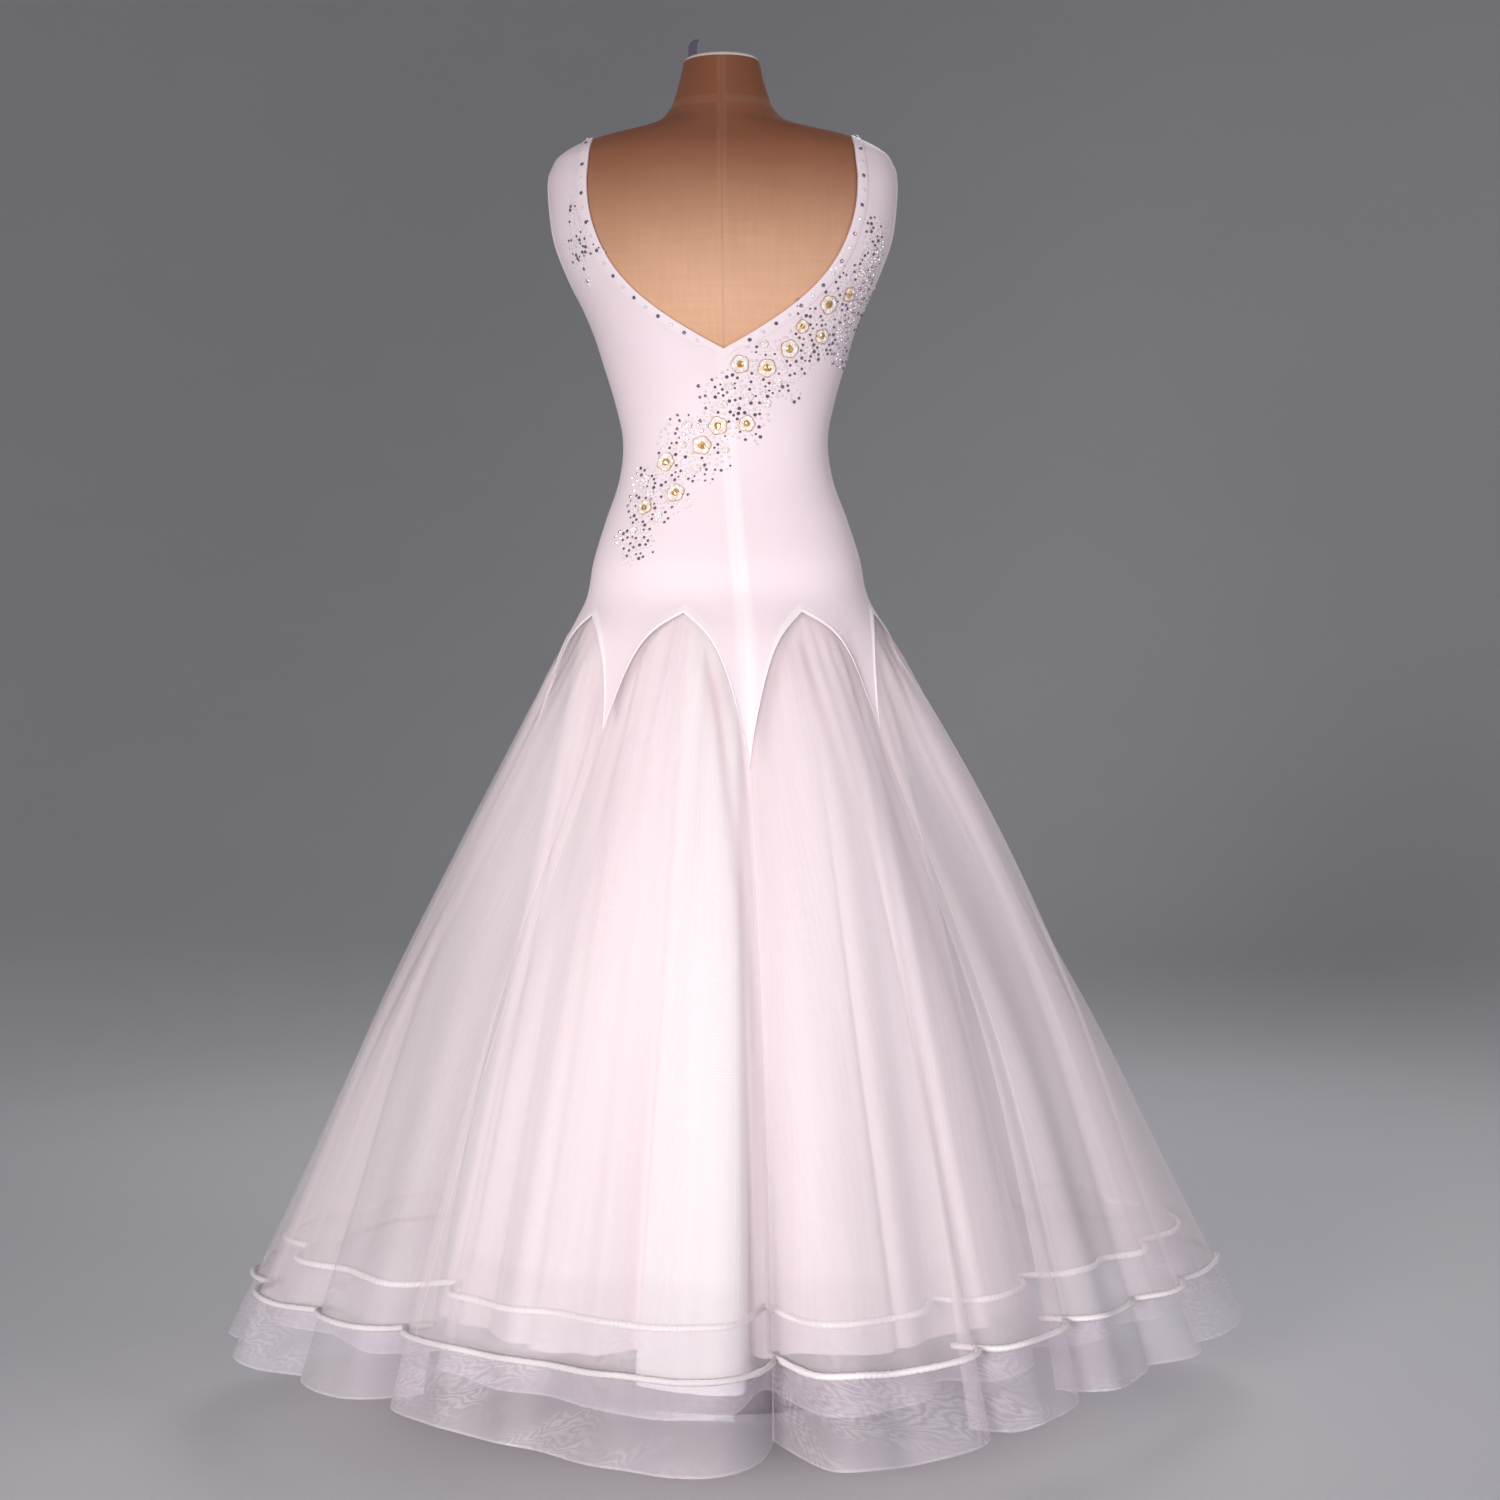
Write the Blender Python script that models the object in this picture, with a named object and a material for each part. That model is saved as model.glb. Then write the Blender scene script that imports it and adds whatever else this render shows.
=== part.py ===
"""A sleeveless ballroom dance dress, worn by a limbless dressmaker's form on a pole stand.

Metres, +Z up, floor at Z = 0. The pole stands on the Z axis. The back of the dress, with its low V, faces -Y,
and +X is the wearer's right. Every piece of cloth is a wall cut from one surface, dress_point(), whose two
parameters are the turn round the body (degrees from centre back, towards +X) and the height.
"""

import math
from collections import namedtuple

import bpy
from mathutils import Vector
from mathutils.bvhtree import BVHTree

# Driving sizes
GORES = 8                   # skirt gores, each under one pointed arch of the bodice
GORE_TURN = 360 / GORES
COLUMN_TURN = GORE_TURN / 8  # turn between two columns of the skirts' walls, at the hem
CLOTH = 0.0012              # wall of the bodice and the skirts
SEAM_GAP = 0.0003           # between two pieces that are sewn to each other
SEAM_SHARE = 0.7            # of SEAM_GAP: what each side of a slanting seam gives
LAYER_GAP = 0.00075         # between two layers that hang in each other

ARCH_TOP = 0.889            # height of an arch's tip
TAB_LENGTH = 0.172          # from an arch's tip down to the bodice's points at centre back and centre front
SIDE_TAB_LENGTH = 0.132     # the same at the other seams
ARCH_RADIUS = 0.190         # mean radius of the body along the arches
HIP_Z = 0.905               # the bodice's lowest level row
FLARE_Z = 0.900             # the skirt opens out below this
HEM_Z = 0.060               # at centre back and centre front
HEM_RISE = 0.014            # the hem is this much higher at the sides
BAND_TOP_Z = 0.140          # the stiff band runs from here to the hem
TUCK_DEPTH = 0.140          # the gores' seams are drawn in by this share of the radius, at most
TUCK_DOWN = 0.22            # share of the way from FLARE_Z to the hem where they are
CORNER_DRAW = 0.14          # at the hem the skirt is drawn in by this share between back, sides and front

SHOULDER_IN = 0.149         # half the neck opening, at the shoulder seam
SHOULDER_OUT = 0.199        # half the span over both shoulder seams
UNDERARM_Z = 1.255
STRAP_Z = 1.385             # the strap turns over the shoulder above this
SHOULDER_Z = 1.438          # the neck end of the shoulder seam
SHOULDER_END_Z = 1.457      # above the whole shoulder seam

BINDING_WIDTH = 0.011
BINDING_WALL = 0.0008
ZIP_HALF_WIDTH = 0.010
ZIP_WALL = 0.0008
ZIP_GAP = 0.0004            # between the zip's tape and the cloth over it
CORD_RADIUS = 0.0024

UNDER_TOP = 0.893           # the under skirt and the lining hang from here, behind the bodice's edge
UNDER_BAND_TOP = 0.181
UNDER_HEM = 0.102
UNDER_INSET = 0.020         # how far the under skirt hangs inside the outer one, at the hem
LINING_HEM = 0.105
LINING_HEM_RADIUS = 0.350

ARM_PLATE_X = 0.180         # the form is flat here, where arms would start
FORM_BOTTOM = 0.790
NECK_TOP = 1.532
CAP_RADIUS = 0.043
CAP_HEIGHT = 0.004
TAB_WALL = 0.0016
POLE_RADIUS = 0.016
FLANGE_RADIUS = 0.045
FLANGE_HEIGHT = 0.012
SOCKET_HEIGHT = 0.030       # the base rises by this to meet the pole
BASE_RADIUS = 0.175
BASE_HEIGHT = 0.012

# The dress's outer face, level by level: half width, reach to the back and to the front of the axis, and how
# far the section is squared off. Above 1.45 m it is the form's own neck.
Level = namedtuple("Level", "z half_width back front square")
LEVELS = [
    Level(0.060, 0.592, 0.612, 0.585, 0.00),
    Level(0.257, 0.500, 0.510, 0.487, 0.00),
    Level(0.442, 0.422, 0.410, 0.392, 0.00),
    Level(0.628, 0.332, 0.308, 0.296, 0.00),
    Level(0.767, 0.253, 0.213, 0.205, 0.00),
    Level(0.860, 0.193, 0.150, 0.143, 0.01),
    Level(0.906, 0.164, 0.117, 0.110, 0.02),
    Level(0.953, 0.154, 0.105, 0.103, 0.03),
    Level(0.999, 0.140, 0.090, 0.098, 0.03),
    Level(1.046, 0.124, 0.077, 0.092, 0.03),
    Level(1.092, 0.119, 0.073, 0.089, 0.03),
    Level(1.138, 0.128, 0.082, 0.098, 0.03),
    Level(1.185, 0.142, 0.094, 0.112, 0.04),
    Level(1.214, 0.151, 0.100, 0.122, 0.05),
    Level(1.248, 0.165, 0.106, 0.130, 0.05),
    Level(1.283, 0.183, 0.109, 0.126, 0.05),
    Level(1.318, 0.197, 0.108, 0.117, 0.05),
    Level(1.353, 0.202, 0.103, 0.107, 0.05),
    Level(1.388, 0.203, 0.096, 0.095, 0.04),
    Level(1.405, 0.199, 0.090, 0.086, 0.03),
    Level(1.422, 0.188, 0.083, 0.077, 0.02),
    Level(1.440, 0.152, 0.074, 0.067, 0.00),
    Level(1.457, 0.082, 0.065, 0.062, 0.00),
    Level(1.475, 0.061, 0.056, 0.060, 0.00),
    Level(1.492, 0.054, 0.048, 0.059, 0.00),
    Level(1.510, 0.049, 0.041, 0.057, 0.00),
    Level(1.532, 0.044, 0.034, 0.055, 0.00),
]

# The dress hangs a little turned on the form: degrees of turn, by height
TWIST = [(0.060, 4.5), (0.715, 6.0), (0.900, 6.5), (1.190, 0.0), (1.532, 0.0)]

# Folds of the skirt at the hem: where each valley runs, its depth as a share of the radius, and its width
Fold = namedtuple("Fold", "turn depth width")
SKIRT_FOLDS = [
    Fold(0.0, 0.230, 3.4), Fold(22.5, 0.110, 3.6), Fold(42.2, 0.100, 3.6), Fold(59.1, 0.045, 4.6),
    Fold(73.1, 0.060, 4.8), Fold(101.3, 0.080, 4.8), Fold(123.8, 0.085, 4.6), Fold(146.3, 0.070, 5.0),
    Fold(174.4, 0.110, 4.6), Fold(-163.1, 0.060, 4.8), Fold(-140.6, 0.095, 4.6), Fold(-112.5, 0.070, 4.8),
    Fold(-84.4, 0.055, 4.8), Fold(-67.5, 0.050, 4.6), Fold(-50.6, 0.120, 3.6), Fold(-25.3, 0.020, 5.0),
]
LINING_FOLDS = [
    Fold(7.5, 0.110, 7.0), Fold(37.5, 0.080, 8.0), Fold(60.0, 0.090, 8.0), Fold(90.0, 0.070, 8.0),
    Fold(120.0, 0.090, 8.0), Fold(150.0, 0.080, 8.0), Fold(180.0, 0.090, 8.0), Fold(-150.0, 0.075, 8.0),
    Fold(-120.0, 0.090, 8.0), Fold(-90.0, 0.080, 8.0), Fold(-60.0, 0.085, 8.0), Fold(-22.5, 0.110, 7.0),
]

# The neck edge of the back and of the front: lowest point, and how full its curve is
Neck = namedtuple("Neck", "tip fullness")
BACK_NECK = Neck(1.187, 3.3)
FRONT_NECK = Neck(1.324, 2.4)
MITRE = 0.012               # the binding's corner reaches this far below a neck's tip

# How far an armhole is cut into the back and into the front, in degrees
BACK_ARMHOLE = 12.0
FRONT_ARMHOLE = 25.0

# Rows of the bodice's wall: shares of a tab's height, level rows, and shares of the way over the shoulder
TAB_ROWS = [0.0, 0.4, 0.75]
LEVEL_ROWS = [HIP_Z, 0.960, 1.015, 1.075, 1.130, 1.187, 1.222, UNDERARM_Z, 1.267, 1.287, 1.312, 1.350,
              STRAP_Z]
SHOULDER_ROWS = [0.3, 0.55, 0.8, 1.0]

# Rows of the skirts' walls: shares of a gore's length, then heights
GORE_ROWS = [0.0, 0.09, 0.22, 0.42, 0.68, 1.0]
UNDER_ROWS = [0.36, 0.54, 0.66, 0.74, 0.80, 0.845]
LINING_ROWS = [0.36, 0.58, 0.74, 0.80, 0.85]
LINING_COLUMNS = 48

# Where a gore's columns lie between its arch's tip, 0, and its seams, 1: along the arch and along the hem
ARCH_COLUMNS = [0.0, 0.38, 0.68, 0.88, 1.0]
HEM_COLUMNS = [0.0, 0.25, 0.5, 0.75, 1.0]

# How far the form's skin lies inside the dress's outer face, by height
FORM_INSET = [(0.905, 0.0090), (0.960, 0.0060), (1.075, 0.0045), (1.187, 0.0040), (1.240, 0.0030),
              (1.400, 0.0030), (1.440, 0.0030), (1.465, 0.0), (1.532, 0.0)]
FORM_ROWS = [*LEVEL_ROWS, 1.403, 1.420, 1.431, 1.439, 1.447, 1.457, 1.475, 1.500, NECK_TOP]
FORM_COLUMNS = 44
HipRow = namedtuple("HipRow", "z half_width back front")
FORM_HIPS = [HipRow(FORM_BOTTOM, 0.128, 0.088, 0.084), HipRow(0.815, 0.144, 0.098, 0.092),
             HipRow(0.860, 0.152, 0.104, 0.097)]

# The grey tape tab on the neck: it bends to the right as it rises
TapeRow = namedtuple("TapeRow", "up x width")
TAPE_TAB = [TapeRow(0.0, -0.0335, 0.0100), TapeRow(0.0120, -0.0335, 0.0100), TapeRow(0.0180, -0.0325, 0.0095),
            TapeRow(0.0210, -0.0305, 0.0080), TapeRow(0.0230, -0.0280, 0.0060)]

# Beaded flowers down the back: distance to the right of centre back, level and radius
Flower = namedtuple("Flower", "x z radius")
FLOWERS = [
    Flower(0.142, 1.252, 0.0100), Flower(0.118, 1.238, 0.0120), Flower(0.110, 1.203, 0.0095),
    Flower(0.088, 1.212, 0.0085), Flower(0.073, 1.187, 0.0115), Flower(0.047, 1.166, 0.0120),
    Flower(0.017, 1.170, 0.0115), Flower(0.024, 1.104, 0.0100), Flower(-0.009, 1.102, 0.0115),
    Flower(-0.027, 1.080, 0.0115), Flower(-0.068, 1.062, 0.0115), Flower(-0.057, 1.026, 0.0115),
    Flower(-0.092, 1.010, 0.0100),
]
PETALS = 5
PETAL_VALLEY = 0.74         # the rim between two petals, as a share of the flower's radius
FLOWER_FOOT = 0.0006        # the flower's clearance from the cloth
FLOWER_HEIGHT = 0.0028
FLOWER_EYE = 0.0007         # the middle stands this much higher

# Colour, roughness and metallic of each material
FINISHES = {
    "stretch_cloth": ((0.90, 0.82, 0.86), 0.55, 0.0),
    "organza": ((0.90, 0.86, 0.92), 0.45, 0.0),
    "stiff_net": ((0.78, 0.72, 0.82), 0.40, 0.0),
    "satin_cord": ((0.95, 0.88, 0.90), 0.35, 0.0),
    "lining_satin": ((0.93, 0.86, 0.88), 0.40, 0.0),
    "form_canvas": ((0.62, 0.36, 0.22), 0.85, 0.0),
    "cap_board": ((0.72, 0.58, 0.50), 0.70, 0.0),
    "grey_tape": ((0.24, 0.20, 0.28), 0.60, 0.0),
    "stand_metal": ((0.55, 0.55, 0.57), 0.35, 1.0),
    "flower_beads": ((0.92, 0.84, 0.70), 0.30, 0.0),
}


def clear_scene():
    for thing in list(bpy.data.objects):
        bpy.data.objects.remove(thing)


def finish(name):
    """The material of that name, made once."""
    made = bpy.data.materials.get(name)
    if made is None:
        colour, roughness, metallic = FINISHES[name]
        made = bpy.data.materials.new(name)
        made.use_nodes = True
        shader = made.node_tree.nodes["Principled BSDF"]
        shader.inputs["Base Color"].default_value = (*colour, 1.0)
        shader.inputs["Roughness"].default_value = roughness
        shader.inputs["Metallic"].default_value = metallic
    return made


def add_solid(name, points, faces, material):
    """One closed mesh as one object, with smooth faces and sharp rims."""
    mesh = bpy.data.meshes.new(name)
    mesh.from_pydata([tuple(point) for point in points], [], faces)
    mesh.materials.append(finish(material))
    mesh.shade_smooth()
    mesh.set_sharp_from_angle(angle=math.radians(40))
    solid = bpy.data.objects.new(name, mesh)
    bpy.context.scene.collection.objects.link(solid)
    return solid


# ---- The dress's surface ----

def along_table(rows, z, column):
    """A column of a table read at height z, on a smooth curve through the rows."""
    index = next((i for i in range(1, len(rows) - 1) if z < rows[i][0]), len(rows) - 1)
    low, high = rows[index - 1], rows[index]
    before, after = rows[max(index - 2, 0)], rows[min(index + 1, len(rows) - 1)]
    span = high[0] - low[0]
    share = (z - low[0]) / span
    leave = (high[column] - before[column]) / (high[0] - before[0]) * span
    arrive = (after[column] - low[column]) / (after[0] - low[0]) * span
    rise = high[column] - low[column]
    return (low[column] + share * leave + share ** 2 * (3 * rise - 2 * leave - arrive)
            + share ** 3 * (leave + arrive - 2 * rise))


def straight_table(rows, z):
    """The second column of a table read at height z, in straight lines and level past the ends."""
    if z <= rows[0][0]:
        return rows[0][1]
    for low, high in zip(rows, rows[1:]):
        if z <= high[0]:
            return low[1] + (high[1] - low[1]) * (z - low[0]) / (high[0] - low[0])
    return rows[-1][1]


def valleys(folds, turn):
    """How deep the cloth is folded in at this turn: one soft valley for each fold."""
    total = 0
    for fold in folds:
        away = (turn - fold.turn + 180) % 360 - 180
        total += fold.depth * math.exp(-((away / fold.width) ** 2))
    return total


def opened(z):
    """0 where the skirt starts to open, 1 at the hem."""
    return max(0.0, (FLARE_Z - z) / (FLARE_Z - HEM_Z))


def skirt_fold(turn, z):
    """How far the skirt is drawn in at a point, as a share of its radius."""
    down = opened(z)
    seams = math.cos(math.radians(GORES / 2 * turn)) ** 2
    corners = math.sin(math.radians(2 * turn)) ** 2
    tucked = TUCK_DEPTH * (down / TUCK_DOWN) ** 2 * math.exp(2 * (1 - down / TUCK_DOWN))
    return valleys(SKIRT_FOLDS, turn) * down ** 1.1 + seams * tucked + corners * CORNER_DRAW * down ** 1.3


def dress_point(turn, z):
    """A point of the dress's outer face."""
    half_width, back, front, square = (along_table(LEVELS, z, column) for column in range(1, 5))
    angle = math.radians(turn + straight_table(TWIST, z))
    swell = 1 + square * math.sin(2 * angle) ** 2 - skirt_fold(turn, z)
    centre_y, half_depth = (front - back) / 2, (front + back) / 2
    return Vector((half_width * math.sin(angle) * swell,
                   centre_y - half_depth * math.cos(angle) * swell, z))


def outward(surface, turn, z):
    """The direction straight out of a surface, longer in a sharp fold, where a wall keeps its thickness."""
    step = COLUMN_TURN if z < HIP_Z else 1.0
    here = surface(turn, z)
    upward = surface(turn, z + 0.001) - surface(turn, z - 0.001)
    before = (here - surface(turn - step, z)).cross(upward).normalized()
    after = (surface(turn + step, z) - here).cross(upward).normalized()
    straight = (before + after).normalized()
    return straight / max(straight.dot(after), 0.4)


def turn_for(length, turn, z):
    """Degrees of turn that cover a short length of cloth."""
    return 0.1 * length / (dress_point(turn + 0.05, z) - dress_point(turn - 0.05, z)).length


# ---- Walls ----

def join_grids(grids):
    """Places and triangles of some grids, whose rows of (turn, height) places run upwards.

    Places that are the same are joined, also those a whole turn apart. Each diagonal starts at the lower
    end of the side that a row starts on, so that mirrored grids match.
    """
    numbers, faces = {}, []
    for rows in grids:
        leftward = sum(row[-1][0] - row[0][0] for row in rows) < 0
        keys = [[(round(turn % 360, 6) % 360, round(z, 7)) for turn, z in row] for row in rows]
        rows = [[numbers.setdefault(key, len(numbers)) for key in row] for row in keys]
        for low, high in zip(rows, rows[1:]):
            for a, b, c, d in zip(low, low[1:], high[1:], high):
                whole = [face for face in ((a, b, d), (b, c, d)) if len(set(face)) == 3]
                faces += [face[::-1] if leftward else face for face in whole]
    return list(numbers), faces


def wall_faces(faces, count):
    """The outer faces, the same faces turned round for the inner points, and a rim along each free edge."""
    edges = {(a, b) for face in faces for a, b in zip(face, face[1:] + face[:1])}
    rims = [(b, a, a + count, b + count) for a, b in edges if (b, a) not in edges]
    return faces + [tuple(i + count for i in reversed(face)) for face in faces] + sorted(rims)


def cloth(name, grids, material, surface=dress_point, inset=0.0, wall=CLOTH):
    """A wall of cloth over some grids of places: inset is how far its outer face lies inside the surface."""
    places, faces = join_grids(grids)
    outs = [outward(surface, turn, z) for turn, z in places]
    points = [surface(turn, z) for turn, z in places]
    outer = [point - out * inset for point, out in zip(points, outs)]
    inner = [point - out * (inset + wall) for point, out in zip(points, outs)]
    return add_solid(name, outer + inner, wall_faces(faces, len(outer)), material)


def ring_faces(rows, columns):
    """Faces round a stack of rings, which run towards +turn from the lowest up."""
    faces = []
    for row in range(rows - 1):
        for column in range(columns):
            a, b = row * columns + column, row * columns + (column + 1) % columns
            faces.append((a, b, b + columns, a + columns))
    return faces


def closed_faces(rows, columns):
    """The same, with a flat lid on the lowest ring and on the highest."""
    lids = [tuple(reversed(range(columns))), tuple(range((rows - 1) * columns, rows * columns))]
    return ring_faces(rows, columns) + lids


# ---- The bodice ----

def neck_half_width(neck, z):
    """Half the neck opening at a height: a V with full, round sides."""
    share = (z - neck.tip) / (SHOULDER_Z - neck.tip)
    return SHOULDER_IN * (1 - (1 - share) ** neck.fullness)


def neck_binding_width(neck, z):
    """The binding's width measured level, which grows where the neck edge slants."""
    slant = (neck_half_width(neck, z + 0.001) - neck_half_width(neck, z)) / 0.001
    return BINDING_WIDTH * math.hypot(1, slant)


def turn_at_x(x, z):
    """Turn at which the section at that height reaches half width x."""
    return math.degrees(math.asin(min(0.9995, x / along_table(LEVELS, z, 1))))


def shoulder_height(x):
    """Height of the shoulder seam at half width x, where the section's end is that wide."""
    low, high = STRAP_Z + 0.005, SHOULDER_END_Z
    for _ in range(30):
        middle = (low + high) / 2
        low, high = (middle, high) if along_table(LEVELS, middle, 1) > x else (low, middle)
    return low


def arch_height(turn):
    """Height of the bodice's lower edge: an arch's tip over a gore's middle, a tab's point at each seam."""
    share = 2 * abs(turn / GORE_TURN % 1 - 0.5)
    central = round(turn / GORE_TURN) % (GORES // 2) == 0
    length = TAB_LENGTH if central else SIDE_TAB_LENGTH
    return ARCH_TOP - length * (0.3 * share + 0.7 * share ** 4)


def arch_slope(share):
    """How steeply an arch's edge falls."""
    return TAB_LENGTH * (0.3 + 2.8 * share ** 3) / (ARCH_RADIUS * math.radians(GORE_TURN / 2))


def arch_gap(share):
    """Half a seam's gap, measured upright, so that it is even across a slanting edge."""
    return SEAM_SHARE * SEAM_GAP * math.hypot(1, arch_slope(share))


def gore_shares(table):
    """Column shares from one seam of a gore to the other: -1 to 1."""
    return [-share for share in reversed(table)] + table[1:]


def quarter_columns():
    """(turn, arch share) of the bodice's columns, from centre back or centre front to the side seam."""
    columns = []
    for gore in range(GORES // 4):
        middle = (gore + 0.5) * GORE_TURN
        shares = gore_shares(ARCH_COLUMNS)
        columns += [(middle + share * GORE_TURN / 2, abs(share)) for share in shares[1 if gore else 0:]]
    return columns


def panel_rows(neck, armhole):
    """Rows of (turn, height) for one side of the bodice, from the neck edge to the side seam.

    The turn is counted from centre back, or from centre front, so both halves of the front use it too.
    """
    columns = quarter_columns()
    last = len(columns) - 1
    rows = []
    for share in TAB_ROWS:
        row = []
        for turn, arch in columns:
            edge = arch_height(turn) + arch_gap(arch)
            row.append((turn, edge + (HIP_Z - edge) * share))
        rows.append(row)
    for z in sorted({*LEVEL_ROWS, neck.tip - MITRE, neck.tip}):
        inner, binding = 0.0, turn_for(ZIP_HALF_WIDTH, 0, z)
        if z >= neck.tip:
            edge = neck_half_width(neck, z)
            inner = turn_at_x(edge, z)
            binding = turn_at_x(edge + neck_binding_width(neck, z), z)
        outer = 90.0
        if z > UNDERARM_Z:
            up = (z - UNDERARM_Z) / (SHOULDER_Z - UNDERARM_Z)
            outer -= armhole * math.sin(math.pi * up ** 0.7) ** 0.8
        row = [(inner, z), (binding, z)]
        for index in range(2, last + 1):
            even = binding + (outer - binding) * (index - 1) / (last - 1)
            level = columns[index][0] if z < 1.0 else even
            row.append((level if index < last else outer, z))
        rows.append(row)
    strap = rows[-1]
    for share in SHOULDER_ROWS:
        row = []
        for index in range(last + 1):
            across = 0.0 if index == 0 else 0.2 + 0.8 * (index - 1) / (last - 1)
            seam_x = SHOULDER_IN + (SHOULDER_OUT - SHOULDER_IN) * across
            top = shoulder_height(seam_x)
            z = top - (top - STRAP_Z) * (1 - share) ** 2
            strap_x = along_table(LEVELS, STRAP_Z, 1) * math.sin(math.radians(strap[index][0]))
            x = strap_x + (seam_x - strap_x) * share
            turn = 90 if share == 1 else turn_at_x(x, z)
            row.append((turn, z))
        rows.append(row)
    return rows


def open_seams(rows, centre_seam):
    """The same rows, with half a gap left along the side seam, the shoulder seam and any centre seam."""
    opened_rows = []
    for row in rows:
        parted = [(turn - turn_for(SEAM_GAP / 2, 90, z) if turn == 90 else turn, z) for turn, z in row]
        if centre_seam and row[0][0] == 0:
            parted[0] = (turn_for(SEAM_GAP / 2, 0, row[0][1]), row[0][1])
        opened_rows.append(parted)
    return opened_rows


def on_back(rows, side):
    """Rows placed on one side of the back: side is 1 for the wearer's right and -1 for the left."""
    return [[(side * turn, z) for turn, z in row] for row in rows]


def on_front(rows, side):
    return [[(side * (180 - turn), z) for turn, z in row] for row in rows]


def build_bodice():
    back = open_seams(panel_rows(BACK_NECK, BACK_ARMHOLE), centre_seam=True)
    front = open_seams(panel_rows(FRONT_NECK, FRONT_ARMHOLE), centre_seam=False)
    cloth("bodice_front", [on_front(front, 1), on_front(front, -1)], "stretch_cloth")
    return [cloth("bodice_back_left", [on_back(back, -1)], "stretch_cloth"),
            cloth("bodice_back_right", [on_back(back, 1)], "stretch_cloth")]


def neck_strip(neck, armhole):
    """The strip along a panel's neck edge, which starts with the mitre under the neck's tip."""
    rows = [row[:2] for row in panel_rows(neck, armhole) if row[0][1] >= neck.tip]
    return [[(0, neck.tip), (0, neck.tip - MITRE)], *rows]


def build_neck_binding():
    """The bound neck edge: one ring over the V of the back, both shoulders and the front."""
    back, front = neck_strip(BACK_NECK, BACK_ARMHOLE), neck_strip(FRONT_NECK, FRONT_ARMHOLE)
    grids = [place(rows, side) for place, rows in ((on_back, back), (on_front, front)) for side in (1, -1)]
    cloth("neck_binding", grids, "stretch_cloth", inset=-(SEAM_GAP + BINDING_WALL), wall=BINDING_WALL)


def build_zip():
    """The concealed zip's tape, behind the centre back seam."""
    heights = [z for z in LEVEL_ROWS if z < BACK_NECK.tip - MITRE] + [BACK_NECK.tip - MITRE]
    rows = [[(side * turn_for(ZIP_HALF_WIDTH, 0, z), z) for side in (-1, 0, 1)] for z in heights]
    cloth("back_zip", [rows], "stretch_cloth", inset=CLOTH + ZIP_GAP, wall=ZIP_WALL)


# ---- The skirts ----

def hem_height(turn, lowest):
    """Height of a hem, which rises from the back and the front to the sides."""
    return lowest + HEM_RISE * math.sin(math.radians(turn)) ** 2


def hem_turns():
    """Turns of the columns along the hem, once round, with the seams between gores among them."""
    return [(gore + 0.5) * GORE_TURN + share * GORE_TURN / 2
            for gore in range(GORES) for share in gore_shares(HEM_COLUMNS)[:-1]]


def build_gore(number):
    """One gore of the outer skirt, from its arch down to the stiff band."""
    middle = (number + 0.5) * GORE_TURN
    rows = []
    for down in reversed(GORE_ROWS):
        row = []
        for arch, hem in zip(gore_shares(ARCH_COLUMNS), gore_shares(HEM_COLUMNS)):
            at_arch, at_hem = middle + arch * GORE_TURN / 2, middle + hem * GORE_TURN / 2
            turn = at_arch + (at_hem - at_arch) * down ** 0.5
            top = arch_height(at_arch) - arch_gap(abs(arch))
            bottom = BAND_TOP_Z + SEAM_GAP / 2
            z = top + (bottom - top) * down
            row.append((turn, z))
        for end, side in ((0, 1), (-1, -1)):
            turn, z = row[end]
            row[end] = (turn + side * turn_for(SEAM_SHARE * SEAM_GAP, turn, z), z)
        rows.append(row)
    cloth(f"skirt_gore_{number + 1}", [rows], "organza")


def build_ring(name, turns, hem, heights, material, surface=dress_point):
    """A wall all round: the lowest row is a hem that rises to the sides, and the heights are the others."""
    turns = [*turns, turns[0] + 360]
    rows = [[(turn, hem_height(turn, hem)) for turn in turns]] if hem else []
    rows += [[(turn, z) for turn in turns] for z in heights]
    cloth(name, [rows], material, surface)


def build_cord(name, turns, z, surface, sides=4):
    """The corded edge that covers the stiff band's top: a round ring just clear of the cloth."""
    points, count = [], len(turns)
    for turn in turns:
        out = outward(surface, turn, z)
        along = (surface(turn + COLUMN_TURN, z) - surface(turn - COLUMN_TURN, z)).normalized()
        up = along.cross(out.normalized())
        middle = surface(turn, z) + out * (SEAM_GAP + CORD_RADIUS)
        for side in range(sides):
            angle = math.tau * side / sides
            points.append(middle + (out * math.cos(angle) + up * math.sin(angle)) * CORD_RADIUS)
    faces = [tuple(i % (count * sides) for i in face) for face in ring_faces(count + 1, sides)]
    add_solid(name, points, faces, "satin_cord")


def under_point(turn, z):
    """A point of the under skirt's outer face: like the outer skirt, and farther inside it downwards."""
    point = dress_point(turn, z)
    inset = CLOTH + 2 * LAYER_GAP + UNDER_INSET * max(0.0, (UNDER_TOP - z) / (UNDER_TOP - HEM_Z)) ** 0.5
    shrink = 1 - inset / math.hypot(point.x, point.y)
    return Vector((point.x * shrink, point.y * shrink, z))


def lining_point(turn, z):
    """A point of the lining: the hips' section, opening to a round hem, with its own soft folds."""
    down = max(0.0, (UNDER_TOP - z) / (UNDER_TOP - LINING_HEM))
    angle = math.radians(turn + straight_table(TWIST, z))
    inside = 2 * CLOTH + 3 * LAYER_GAP
    half_width, back, front = (
        top + (LINING_HEM_RADIUS - top) * down ** 1.3
        for top in (along_table(LEVELS, UNDER_TOP, column) - inside for column in (1, 2, 3)))
    draw = 1 - valleys(LINING_FOLDS, turn) * down ** 0.9
    return Vector((half_width * math.sin(angle) * draw,
                   (front - back) / 2 - (front + back) / 2 * math.cos(angle) * draw, z))


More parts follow.
